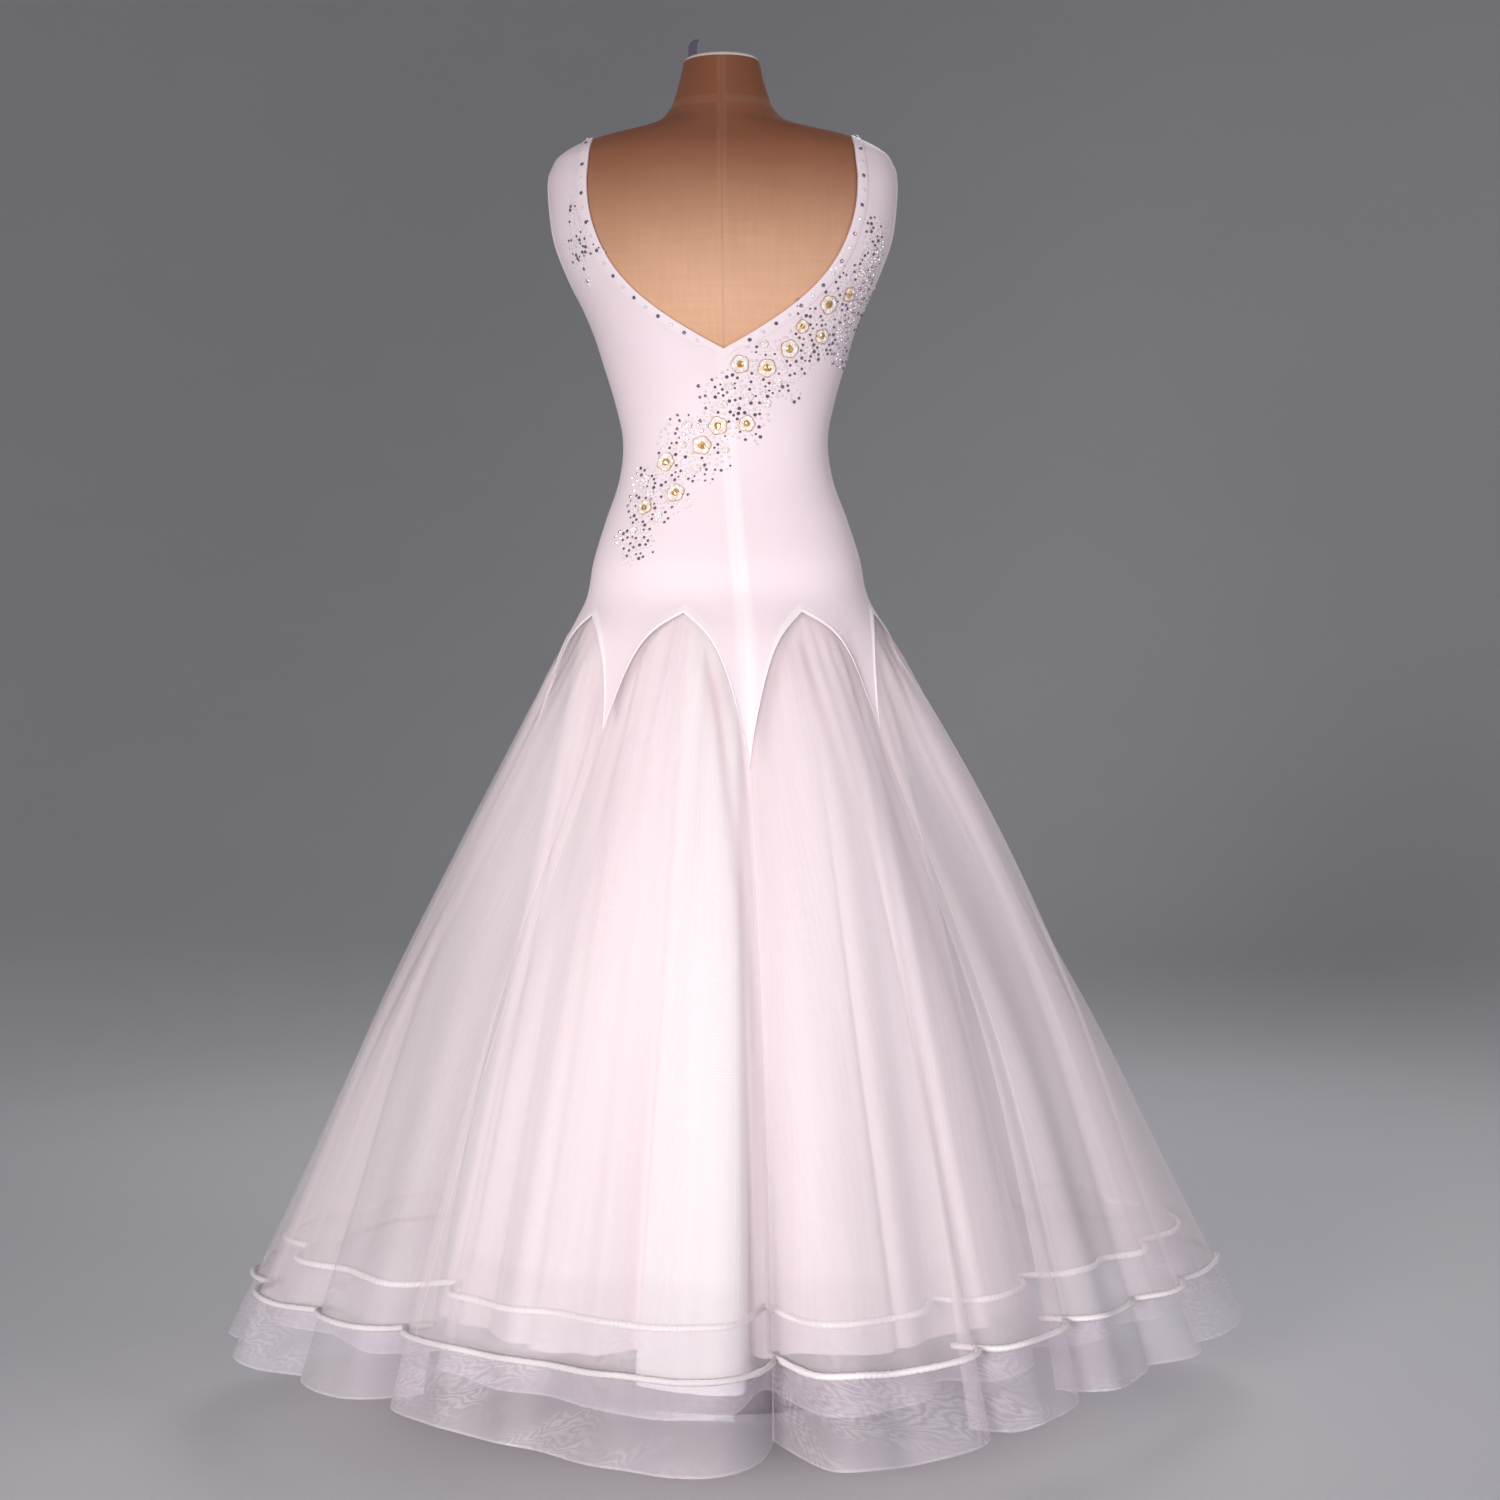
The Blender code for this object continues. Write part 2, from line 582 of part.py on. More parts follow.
def build_skirts():
    for number in range(GORES):
        build_gore(number)
    half_gap = SEAM_GAP / 2
    turns = hem_turns()
    build_ring("hem_band", turns, HEM_Z, [BAND_TOP_Z - half_gap], "stiff_net")
    build_cord("hem_cord", turns, BAND_TOP_Z, dress_point)
    heights = [UNDER_BAND_TOP + half_gap, *UNDER_ROWS, UNDER_TOP]
    build_ring("under_skirt", turns, None, heights, "organza", under_point)
    build_ring("under_band", turns, UNDER_HEM, [UNDER_BAND_TOP - half_gap], "stiff_net", under_point)
    build_cord("under_cord", turns, UNDER_BAND_TOP, under_point)
    turns = [360 * index / LINING_COLUMNS for index in range(LINING_COLUMNS)]
    build_ring("lining", turns, None, [LINING_HEM, *LINING_ROWS, UNDER_TOP], "lining_satin", lining_point)


# ---- The form and its stand ----

def form_point(turn, z):
    """A point of the form's skin: inside the dress, and flat where arms would start."""
    if z < FORM_ROWS[0]:
        hips = [(row.z, row.half_width, row.back, row.front) for row in FORM_HIPS]
        half_width, back, front = (along_table(hips, z, column) for column in (1, 2, 3))
        angle = math.radians(turn)
        return Vector((half_width * math.sin(angle),
                       (front - back) / 2 - (front + back) / 2 * math.cos(angle), z))
    turn -= straight_table(TWIST, z)
    point = dress_point(turn, z) - outward(dress_point, turn, z) * straight_table(FORM_INSET, z)
    point.x = max(-ARM_PLATE_X, min(ARM_PLATE_X, point.x))
    return point


def build_form():
    heights = [row.z for row in FORM_HIPS] + FORM_ROWS
    turns = [360 * index / FORM_COLUMNS for index in range(FORM_COLUMNS)]
    points = [form_point(turn, z) for z in heights for turn in turns]
    add_solid("form_torso", points, closed_faces(len(heights), FORM_COLUMNS), "form_canvas")


def turned(name, profile, sides, material, centre=(0.0, 0.0)):
    """A closed turned solid: profile is (radius, height) pairs from the bottom up, with flat ends."""
    points = [Vector((centre[0] + radius * math.cos(math.tau * side / sides),
                      centre[1] + radius * math.sin(math.tau * side / sides), z))
              for radius, z in profile for side in range(sides)]
    add_solid(name, points, closed_faces(len(profile), sides), material)


def build_neck_cap():
    """The board that closes the neck, with the grey tape tab that stands up beside its middle."""
    middle_y = (LEVELS[-1].front - LEVELS[-1].back) / 2
    bottom = NECK_TOP + SEAM_GAP
    top = bottom + CAP_HEIGHT
    profile = [(CAP_RADIUS, bottom), (CAP_RADIUS, bottom + CAP_HEIGHT / 2), (CAP_RADIUS - 0.003, top)]
    turned("neck_cap", profile, 32, "cap_board", centre=(0.0, middle_y))
    points = []
    for row in TAPE_TAB:
        for across, deep in ((-1, -1), (1, -1), (1, 1), (-1, 1)):
            points.append(Vector((row.x + across * row.width / 2, middle_y + deep * TAB_WALL / 2,
                                  top + SEAM_GAP + row.up)))
    add_solid("tape_tab", points, closed_faces(len(TAPE_TAB), 4), "grey_tape")


def build_stand():
    socket_top = BASE_HEIGHT + SOCKET_HEIGHT
    flange_bottom = FORM_BOTTOM - FLANGE_HEIGHT
    base = [(BASE_RADIUS, 0.0), (BASE_RADIUS, BASE_HEIGHT * 0.6), (BASE_RADIUS - 0.008, BASE_HEIGHT),
            (0.034, BASE_HEIGHT + 0.004), (0.026, socket_top)]
    turned("stand_base", base, 48, "stand_metal")
    turned("stand_pole", [(POLE_RADIUS, socket_top + SEAM_GAP), (POLE_RADIUS, flange_bottom - SEAM_GAP)], 20,
           "stand_metal")
    turned("stand_flange", [(POLE_RADIUS, flange_bottom), (FLANGE_RADIUS, flange_bottom + 0.004),
                            (FLANGE_RADIUS, FORM_BOTTOM - SEAM_GAP)], 28, "stand_metal")


# ---- The beaded flowers ----

def build_flowers(panels):
    """Low beaded flowers, each laid on the cloth under it and kept just clear of it."""
    graph = bpy.context.evaluated_depsgraph_get()
    trees = [BVHTree.FromObject(panel, graph) for panel in panels]

    def on_cloth(start, direction):
        hits = [tree.ray_cast(start, direction) for tree in trees]
        return min((hit for hit in hits if hit[0]), key=lambda hit: hit[3])[:2]

    count = 2 * PETALS
    for number, flower in enumerate(FLOWERS, 1):
        place, normal = on_cloth(Vector((flower.x, -0.3, flower.z)), Vector((0, 1, 0)))
        side = normal.cross(Vector((0, 0, 1))).normalized()
        up = normal.cross(side)
        feet = []
        for index in range(count):
            radius = flower.radius * (1.0 if index % 2 else PETAL_VALLEY)
            angle = math.tau * index / count
            rim = place + (side * math.cos(angle) + up * math.sin(angle)) * radius
            feet.append(on_cloth(rim + normal * 0.02, -normal)[0])
        feet.append(place)
        bottom = [foot + normal * FLOWER_FOOT for foot in feet]
        top = [foot + (place - foot) * 0.12 + normal * FLOWER_HEIGHT for foot in feet]
        top[-1] = top[-1] + normal * FLOWER_EYE
        low, high = count, 2 * count + 1
        faces = []
        for index in range(count):
            after = (index + 1) % count
            faces += [(after, index, low), (index + low + 1, after + low + 1, high),
                      (index, after, index + low + 1), (after, after + low + 1, index + low + 1)]
        add_solid(f"flower_{number:02d}", bottom + top, faces, "flower_beads")


def main():
    clear_scene()
    back_panels = build_bodice()
    build_neck_binding()
    build_zip()
    build_skirts()
    build_form()
    build_neck_cap()
    build_stand()
    build_flowers(back_panels)


main()
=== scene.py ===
import math

import bmesh
import bpy
import numpy as np
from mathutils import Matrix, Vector


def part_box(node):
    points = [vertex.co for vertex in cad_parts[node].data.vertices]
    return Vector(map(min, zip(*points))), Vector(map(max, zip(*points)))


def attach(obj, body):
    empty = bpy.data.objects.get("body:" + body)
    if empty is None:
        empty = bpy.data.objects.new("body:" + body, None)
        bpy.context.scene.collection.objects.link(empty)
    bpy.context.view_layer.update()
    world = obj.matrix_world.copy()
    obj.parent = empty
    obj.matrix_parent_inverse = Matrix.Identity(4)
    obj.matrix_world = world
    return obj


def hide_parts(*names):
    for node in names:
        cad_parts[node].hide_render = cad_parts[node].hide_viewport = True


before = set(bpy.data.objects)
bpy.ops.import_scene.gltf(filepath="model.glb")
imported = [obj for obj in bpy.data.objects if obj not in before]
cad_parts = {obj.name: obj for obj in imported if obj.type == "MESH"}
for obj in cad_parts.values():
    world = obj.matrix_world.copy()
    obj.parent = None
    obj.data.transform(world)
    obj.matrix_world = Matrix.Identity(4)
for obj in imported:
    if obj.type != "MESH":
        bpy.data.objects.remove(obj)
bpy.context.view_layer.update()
print("frame loaded,", len(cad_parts), "nodes")

# The dress is a surface over turn, in degrees from centre back towards +X, and height, in metres
dress = {
    # height, half width, reach to the back, reach to the front, how squared the section is
    "levels": np.array([
        [0.060, 0.592, 0.612, 0.585, 0.00], [0.257, 0.500, 0.510, 0.487, 0.00],
        [0.442, 0.422, 0.410, 0.392, 0.00], [0.628, 0.332, 0.308, 0.296, 0.00],
        [0.767, 0.253, 0.213, 0.205, 0.00], [0.860, 0.193, 0.150, 0.143, 0.01],
        [0.906, 0.164, 0.117, 0.110, 0.02], [0.953, 0.154, 0.105, 0.103, 0.03],
        [0.999, 0.140, 0.090, 0.098, 0.03], [1.046, 0.124, 0.077, 0.092, 0.03],
        [1.092, 0.119, 0.073, 0.089, 0.03], [1.138, 0.128, 0.082, 0.098, 0.03],
        [1.185, 0.142, 0.094, 0.112, 0.04], [1.214, 0.151, 0.100, 0.122, 0.05],
        [1.248, 0.165, 0.106, 0.130, 0.05], [1.283, 0.183, 0.109, 0.126, 0.05],
        [1.318, 0.197, 0.108, 0.117, 0.05], [1.353, 0.202, 0.103, 0.107, 0.05],
        [1.388, 0.203, 0.096, 0.095, 0.04], [1.405, 0.199, 0.090, 0.086, 0.03],
        [1.422, 0.188, 0.083, 0.077, 0.02], [1.440, 0.152, 0.074, 0.067, 0.00],
        [1.457, 0.082, 0.065, 0.062, 0.00], [1.475, 0.061, 0.056, 0.060, 0.00],
        [1.492, 0.054, 0.048, 0.059, 0.00], [1.510, 0.049, 0.041, 0.057, 0.00],
        [1.532, 0.044, 0.034, 0.055, 0.00]]),
    "twist": np.array([[0.060, 4.5], [0.715, 6.0], [0.900, 6.5], [1.190, 0.0]]),  # height, degrees
    "hip": 0.905, "flare": 0.900, "hem": 0.060, "hemRise": 0.014,
    "wall": 0.0012, "layerGap": 0.00075, "seamGap": 0.0003,
}


def alongTable(rows, z, column):
    # a cubic between each two rows, whose slope at a row is that of the line between the row's neighbours
    heights, values = rows[:, 0], rows[:, column]
    last = len(heights) - 1
    before, after = (np.clip(np.arange(last + 1) + step, 0, last) for step in (-1, 1))
    slopes = (values[after] - values[before]) / (heights[after] - heights[before])
    low = np.clip(np.searchsorted(heights, z, side="right") - 1, 0, last - 1)
    span, rise = heights[low + 1] - heights[low], values[low + 1] - values[low]
    leave, arrive = slopes[low] * span, slopes[low + 1] * span
    share = (z - heights[low]) / span
    return (values[low] + share * leave + share ** 2 * (3 * rise - 2 * leave - arrive)
            + share ** 3 * (leave + arrive - 2 * rise))


def smooth(value, start, end):
    # 0 before start and 1 after end, with an S curve between
    share = np.clip((value - start) / (end - start), 0, 1)
    return share * share * (3 - 2 * share)


def bell(away, width):
    # e to minus the square of (distance / width)
    return np.exp(-(away / width) ** 2)


def bells(rows, turn):
    # the sum of one bell curve round the skirt for each row: turn, height, width
    away = (turn[..., None] - rows[:, 0] + 180) % 360 - 180
    return (rows[:, 1] * bell(away, rows[:, 2])).sum(-1)


def ripples(rows, turn):
    # the sum of one sine wave round it for each row: waves in the round, height, phase
    return (rows[:, 1] * np.sin(np.radians(turn[..., None] * rows[:, 0] + rows[:, 2]))).sum(-1)


def unit(vectors):
    # each vector over its length
    return vectors / np.linalg.norm(vectors, axis=-1, keepdims=True)


def twist(z):
    # degrees by which the section is turned at a height
    return np.interp(z, dress["twist"][:, 0], dress["twist"][:, 1])


def wayDown(z, start, end):
    # 0 at the start and above it, and 1 at the end
    return np.maximum(0, (start - z) / (start - end))


def ovalPoint(extents, angle, swell, z):
    # an ellipse at each height: half width times sine and half depth times cosine, times the swell
    halfWidth, back, front = extents
    return np.stack([halfWidth * np.sin(angle) * swell,
                     (front - back) / 2 - (front + back) / 2 * np.cos(angle) * swell, z], -1)


def dressPoint(turn, z):
    # the dress's oval, drawn in by its folds, by a tuck at each gore's seam, and a little on the diagonals
    turn, z = np.broadcast_arrays(turn, z)
    *extents, square = (alongTable(dress["levels"], z, column) for column in range(1, 5))
    down = wayDown(z, dress["flare"], dress["hem"])
    tucked = skirt["tuck"] * (down / skirt["tuckDown"]) ** 2 * np.exp(2 * (1 - down / skirt["tuckDown"]))
    drawn = (bells(skirt["folds"], turn) * down ** 1.1
             + np.cos(np.radians(skirt["gores"] / 2 * turn)) ** 2 * tucked
             + np.sin(np.radians(2 * turn)) ** 2 * skirt["cornerDraw"] * down ** 1.3)
    angle = np.radians(turn + twist(z))
    return ovalPoint(extents, angle, 1 + square * np.sin(2 * angle) ** 2 - drawn, z)


def fluted(turn, z):
    # the dress's point with soft flutes, and with each fold's crest pushed over it; both grow downwards
    turn, z = np.broadcast_arrays(turn, z)
    down = wayDown(z, dress["flare"], dress["hem"]) ** 1.2
    ridged = raised(dressPoint, turn, z, ripples(skirt["flutes"], turn) * down)
    return ridged + sideways(skirt["laps"], turn, z) * down[..., None]


def sideways(laps, turn, z):
    # a shift along the hem by each lap's bell curve
    reach = bells(laps, turn)
    angle = np.radians(turn + twist(z))
    return np.stack([reach * np.cos(angle), reach * np.sin(angle), 0 * reach], -1)


def outward(surface, turn, z):
    # the unit normal: the change over a degree of turn crossed with that over two millimetres of height
    across = surface(turn + 0.5, z) - surface(turn - 0.5, z)
    upward = surface(turn, z + 0.001) - surface(turn, z - 0.001)
    return unit(np.cross(across, upward))


def raised(surface, turn, z, height):
    # points at a height above a surface, along its normal
    turn, z = np.broadcast_arrays(turn, z)
    return surface(turn, z) + outward(surface, turn, z) * np.broadcast_to(height, turn.shape)[..., None]


def onBack(x, z):
    # turn of the back's point at an x and a height: x = half width times sine times swell, by five guesses
    halfWidth, square = (alongTable(dress["levels"], z, column) for column in (1, 4))
    angle = 0 * x
    for _ in range(5):
        angle = np.arcsin(np.clip(x / halfWidth / (1 + square * np.sin(2 * angle) ** 2), -0.999, 0.999))
    return np.degrees(angle) - twist(z)


def run(path):
    # the length from the start of a path, or of each column of a grid, to each of its points
    steps = np.linalg.norm(np.diff(path, axis=0), axis=-1)
    return np.concatenate([0 * steps[:1], np.cumsum(steps, axis=0)])


def clothUv(points):
    # metres along the cloth: u across from the middle column, v up from the lowest row
    u = run(points.swapaxes(0, 1)).T
    return np.stack([u - u[:, [u.shape[1] // 2]], run(points)], -1)


def gridFaces(ids):
    # one four-sided face between each two columns and each two rows
    return np.stack([ids[:-1, :-1], ids[:-1, 1:], ids[1:, 1:], ids[1:, :-1]], -1).reshape(-1, 4)


def gridIds(rows, columns, closed=(0, 1)):
    # numbers of a grid's points, which come round to the first row or column again where it is closed
    ids = np.arange(rows * columns).reshape(rows, columns)
    return np.pad(ids, [(0, closed[0]), (0, closed[1])], "wrap")


def linked(name, data):
    # a new object of the scene
    made = bpy.data.objects.new(name, data)
    bpy.context.scene.collection.objects.link(made)
    return made


def addPiece(name, points, faces, finishes, node=None, uv=None, marks={}, flat=False):
    # one mesh object, which may stand for a node; uv goes by its faces' corners, and marks by its points
    mesh = bpy.data.meshes.new(name)
    mesh.from_pydata(points.tolist(), [], faces)
    if uv is not None:
        mesh.uv_layers.new(name="cloth").data.foreach_set("uv", uv.astype(np.float32).ravel())
    for mark, values in marks.items():
        data = mesh.attributes.new(mark, "FLOAT", "POINT").data
        data.foreach_set("value", values.astype(np.float32).ravel())
    for finish in finishes:
        mesh.materials.append(finish.material)
    (mesh.shade_flat if flat else mesh.shade_smooth)()
    piece = linked(name, mesh)
    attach(piece, "root")
    if node:
        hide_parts(node)
    return piece


def mergeDoubles(piece, distance):
    work = bmesh.new()
    work.from_mesh(piece.data)
    bmesh.ops.remove_doubles(work, verts=work.verts, dist=distance)
    work.to_mesh(piece.data)
    work.free()


def addGrids(name, grids, finish, slot, node, wall=0.0, closed=(0, 0), marks={}, turned=False):
    # a surface from one or more (rows, columns, 3) grids, whose last row or column repeats the first where
    # it is closed; a wall grows inwards from it
    points, faces, corners, start = [], [], [], 0
    step = -1 if turned else 1
    for grid in grids:
        rows, columns = np.subtract(grid.shape[:2], closed)
        points.append(grid[:rows, :columns].reshape(-1, 3))
        faces.append(start + gridFaces(gridIds(rows, columns, closed))[:, ::step])
        whole = gridFaces(gridIds(*grid.shape[:2], (0, 0)))[:, ::step]
        corners.append(clothUv(grid).reshape(-1, 2)[whole.ravel()])
        start += rows * columns
    marks = {mark: np.concatenate([values[:len(values) - closed[0], :values.shape[1] - closed[1]].ravel()
                                   for values in each]) for mark, each in marks.items()}
    piece = addPiece(name, np.concatenate(points), np.concatenate(faces).tolist(), [finish], node,
                     np.concatenate(corners), marks)
    if len(grids) > 1:
        mergeDoubles(piece, 2e-5)
    if wall:
        solid = piece.modifiers.new("wall", "SOLIDIFY")
        solid.thickness, solid.offset = wall, -1
        mesh = bpy.data.meshes.new_from_object(piece.evaluated_get(bpy.context.evaluated_depsgraph_get()))
        piece.modifiers.clear()
        piece.data = mesh
        mesh.set_sharp_from_angle(angle=math.radians(50))
    return piece


def declareSheet(piece, grids):
    # a sheet's cut: as wide as its longest level row, as long as its longest column, as large as its faces
    width = length = area = 0
    for grid in grids:
        across, upward = np.diff(grid, axis=1), np.diff(grid, axis=0)
        level = np.ptp(grid[..., 2], axis=1) < 0.032  # a doubled strip that hangs lower leaves its row level
        width = max(width, np.linalg.norm(across[level], axis=-1).sum(1).max())
        length = max(length, np.linalg.norm(upward, axis=-1).sum(0).max())
        area += np.linalg.norm(np.cross(across[:-1], upward[:, :-1]), axis=-1).sum()
    width = width * len(grids)
    area = float(min(area, width * length))
    print(f"  {piece.name}: {width:.3f} x {length:.3f} m, {area:.3f} m2")


class Signal:
    # a node's output: Python's operators on it add Math nodes
    def __init__(self, tree, socket):
        self.tree, self.socket = tree, socket

    def math(self, operation, other=0.0):
        node = self.tree.nodes.new("ShaderNodeMath")
        node.operation = operation
        for socket, value in zip(node.inputs, (self, other)):
            plug(self.tree, socket, value)
        return Signal(self.tree, node.outputs[0])

    def wave(self, length):
        # 0 to 1 and back in each length
        return (self * (math.tau / length)).math("COSINE") * 0.5 + 0.5

    def size(self):
        return self.math("ABSOLUTE")


operations = {"__add__": "ADD", "__radd__": "ADD", "__sub__": "SUBTRACT", "__mul__": "MULTIPLY",
              "__rmul__": "MULTIPLY", "least": "MINIMUM", "most": "MAXIMUM"}
for name, operation in operations.items():
    setattr(Signal, name, lambda self, other, operation=operation: self.math(operation, other))


def plug(tree, socket, value):
    if isinstance(value, Signal):
        tree.links.new(value.socket, socket)
    elif socket.type == "RGBA" and len(value) == 3:
        socket.default_value = (*value, 1.0)
    else:
        socket.default_value = value


sockets = {"rough": "Roughness", "metal": "Metallic", "specular": "Specular IOR Level",
           "sheen": "Sheen Weight", "sheenRough": "Sheen Roughness", "coat": "Coat Weight",
           "coatRough": "Coat Roughness", "colour": "Base Color", "alpha": "Alpha", "normal": "Normal"}


class Finish:
    # a Principled material: constants are set on its sockets, and what changes over the surface is plugged in
    def __init__(self, name, **constants):
        self.material = bpy.data.materials.new(name)
        self.material.use_nodes = True
        self.tree = self.material.node_tree
        self.shader = self.tree.nodes["Principled BSDF"]
        self.set(**constants)

    def set(self, **values):
        for short, value in values.items():
            plug(self.tree, self.shader.inputs[sockets[short]], value)

    def node(self, kind, settings={}, values={}, outlet=0):
        made = self.tree.nodes.new("ShaderNode" + kind)
        for setting, value in settings.items():
            setattr(made, setting, value)
        for socket, value in values.items():
            plug(self.tree, made.inputs[socket], value)
        return Signal(self.tree, made.outputs[outlet])

    def place(self, woven=False):
        # the object's own place, or the cloth's, in metres
        return self.node("UVMap", {"uv_map": "cloth"}) if woven else self.node("TexCoord", outlet="Object")

    def cloth(self):
        # the cloth's own u and v
        return [self.node("SeparateXYZ", values={0: self.place(True)}, outlet=axis) for axis in (0, 1)]

    def noise(self, scale, detail=2.0, stretch=(1, 1, 1), woven=False):
        placed = self.node("Mapping", values={"Vector": self.place(woven), "Scale": stretch})
        return self.node("TexNoise", values={"Vector": placed, "Scale": scale, "Detail": detail})

    def mix(self, share, first, second):
        return self.node("Mix", {"data_type": "RGBA"}, {0: share, 6: first, 7: second}, 2)

    def tint(self, share, first, second, **values):
        self.set(colour=self.mix(share, first, second), **values)
        return self

    def fade(self, value, start, end, low=0.0, high=1.0):
        # low before start, high after end, and an S curve between
        return self.node("MapRange", {"interpolation_type": "SMOOTHSTEP"},
                         {"Value": value, "From Min": start, "From Max": end, "To Min": low, "To Max": high})

    def near(self, value, start, end):
        # 1 before start and 0 after end
        return self.fade(value, start, end, 1.0, 0.0)

    def mark(self, name):
        return self.node("Attribute", {"attribute_name": name}, outlet="Fac")

    def bump(self, height, distance, strength=1.0):
        values = {"Height": height, "Distance": distance, "Strength": strength}
        self.set(normal=self.node("Bump", values=values))
        return self


def jerseyFinish():
    # fine ribs of knit, soft stretch shading, paler where the cloth is sewn double
    finish = Finish("stretch_jersey", rough=0.55, sheen=0.25, sheenRough=0.4, specular=0.35)
    u, v = finish.cloth()
    ribs = u.wave(0.0008) * 0.6 + v.wave(0.001) * 0.4
    drag = finish.noise(9.0, stretch=(1, 1, 0.5))
    pill = finish.noise(700.0)
    single = finish.mix(drag * 0.7 + ribs * 0.15 + pill * 0.15, (0.83, 0.68, 0.74), (0.92, 0.8, 0.85))
    finish.tint(finish.mark("double") * 0.55, single, (0.98, 0.94, 0.95))
    return finish.bump(ribs * 0.5 + pill * 0.3 + drag * 10.0, 0.00012, 0.8)


def organzaFinish(name, gored):
    # clear crossed threads with slubs; a gore is denser where sewn double, gathered or pleated, with painted
    # shade under its arches and in its pleats
    finish = Finish(name, rough=0.55, sheen=0.5, sheenRough=0.3, specular=0.3)
    u, v = finish.cloth()
    threads = u.wave(0.0008).most(v.wave(0.0008))
    slubs = finish.noise(60.0, stretch=(7, 0.2, 1), woven=True)
    cloud = finish.noise(5.0, stretch=(1, 0.3, 1), woven=True)
    alpha = 0.27 * (0.62 + threads * 0.25 + slubs * 0.16 + cloud * 0.35)
    colour = finish.mix(slubs * 0.4 + cloud * 0.6, (0.91, 0.8, 0.84), (1.0, 0.93, 0.95))
    if gored:
        seam = finish.near(finish.mark("edge"), 0.0018, 0.0028)
        gather, pleat = finish.mark("gather"), finish.mark("pleat")
        alpha = alpha + seam * 0.08 + gather * 0.2 + pleat * 0.28
        # painted shade under the arches: the gather mark turns the colour pink
        colour = finish.mix(gather * 0.5, colour, (0.92, 0.66, 0.65))
        # painted shade along the pleats' valleys: the pleat mark turns the colour dark mauve
        colour = finish.mix(pleat * 0.8, colour, (0.6, 0.44, 0.48))
    finish.set(alpha=alpha.least(0.96), colour=colour)
    return finish.bump(threads * 0.4 + slubs * 0.6, 0.0002, 0.5)


def netFinish():
    # stiff net: crossed slanting threads, and the watered pattern that two layers of it make
    finish = Finish("stiff_net", rough=0.38, sheen=0.3, specular=0.5)
    u, v = finish.cloth()
    mesh = (u + v).wave(0.002).most((u - v).wave(0.002))
    water = finish.noise(22.0, 3.0, woven=True)
    watered = (water * 0.06 + v * 0.6).wave(0.0052) * finish.fade(finish.noise(8.0, woven=True), 0.4, 0.62)
    hem = finish.near(v, 0.0018, 0.0032)
    finish.tint(watered * 0.4 + mesh * 0.6, (0.79, 0.69, 0.79), (0.94, 0.87, 0.94),
                alpha=(0.2 + mesh * 0.18 + watered * 0.13 + hem * 0.14).least(0.95))
    return finish.bump(mesh, 0.0003, 0.6)


def cordFinish():
    # plaited satin: slanting strands round the cord
    finish = Finish("satin_cord", rough=0.45, sheen=0.6, sheenRough=0.4, specular=0.5)
    u, v = finish.cloth()
    strands = (u + v * 0.6).wave(0.0042)
    fluff = finish.noise(900.0)
    finish.tint(strands * 0.8 + fluff * 0.2, (0.93, 0.85, 0.88), (1.0, 0.96, 0.97))
    return finish.bump(strands + fluff * 0.5, 0.0005, 0.7)


def satinFinish():
    # close satin weave: fine lengthwise floats with a soft gloss, whiter where the cloth is doubled
    finish = Finish("lining_satin", rough=0.48, sheen=0.15, specular=0.4)
    floats = finish.noise(900.0, stretch=(1, 0.08, 1), woven=True)
    cloud = finish.noise(5.0, stretch=(1, 0.4, 1), woven=True)
    hem = finish.near((finish.cloth()[1] - 0.022).size(), 0.0006, 0.0014)
    single = finish.mix(floats * 0.3 + cloud * 0.6 - hem * 0.3, (0.87, 0.76, 0.8), (0.98, 0.89, 0.92))
    finish.tint(finish.mark("double"), single, (1.0, 0.98, 0.98))
    return finish.bump(floats + hem * -3.0, 0.0001, 0.7)


def linenFinish():
    # plain weave of tan linen with slubs, with painted shade that darkens and reddens it towards the
    # shoulders, creased along the seams with a painted highlight beside them
    finish = Finish("form_linen", rough=0.85, sheen=0.05, specular=0.1)
    u, v = finish.cloth()
    weave = u.wave(0.0009).most(v.wave(0.0009))
    warp = finish.noise(220.0, 3.0, (1, 1, 0.05))
    weft = finish.noise(220.0, 3.0, (0.05, 0.05, 1))
    seam = finish.near(finish.mark("seam"), 0.0004, 0.0014)
    pressed = finish.near(finish.mark("seam"), 0.0045, 0.006)
    high = finish.fade(finish.mark("height"), 1.23, 1.45)
    cloth = finish.mix(warp * 0.3 + weft * 0.3 + weave * 0.1 + 0.15, (0.66, 0.36, 0.21), (0.98, 0.61, 0.41))
    aged = finish.mix(finish.fade(finish.noise(6.0, 4.0), 0.35, 0.75, 0.0, 0.3), cloth, (0.48, 0.24, 0.13))
    # painted shade: towards the shoulders the linen is mixed to a dark red-brown
    shaded = finish.mix(high * 0.9, aged, (0.24, 0.07, 0.03))
    # painted highlight: a little lighter along the pressed ridges beside the seams
    lit = finish.mix(pressed * 0.05, shaded, (0.86, 0.62, 0.42))
    finish.tint(seam * 0.09, lit, (0.2, 0.09, 0.05))
    return finish.bump(weave * 0.5 + warp * 0.35 + weft * 0.35 - seam * 1.2 + pressed * 0.7, 0.0004, 0.9)


def boardFinish():
    # grey-brown board of pressed fibres
    finish = Finish("cap_board", rough=0.75, specular=0.25)
    fibres = finish.noise(240.0, 4.0, (1, 1, 4))
    return finish.tint(fibres, (0.56, 0.45, 0.38), (0.86, 0.78, 0.72)).bump(fibres, 0.0003, 0.7)


def tapeFinish():
    # woven grey tape
    finish = Finish("grey_tape", rough=0.6, sheen=0.3)
    u, v = finish.cloth()
    weave = (u + v).wave(0.0012) * (u - v).wave(0.0012)
    return finish.tint(weave, (0.07, 0.05, 0.1), (0.2, 0.17, 0.27)).bump(weave, 0.0002, 0.8)


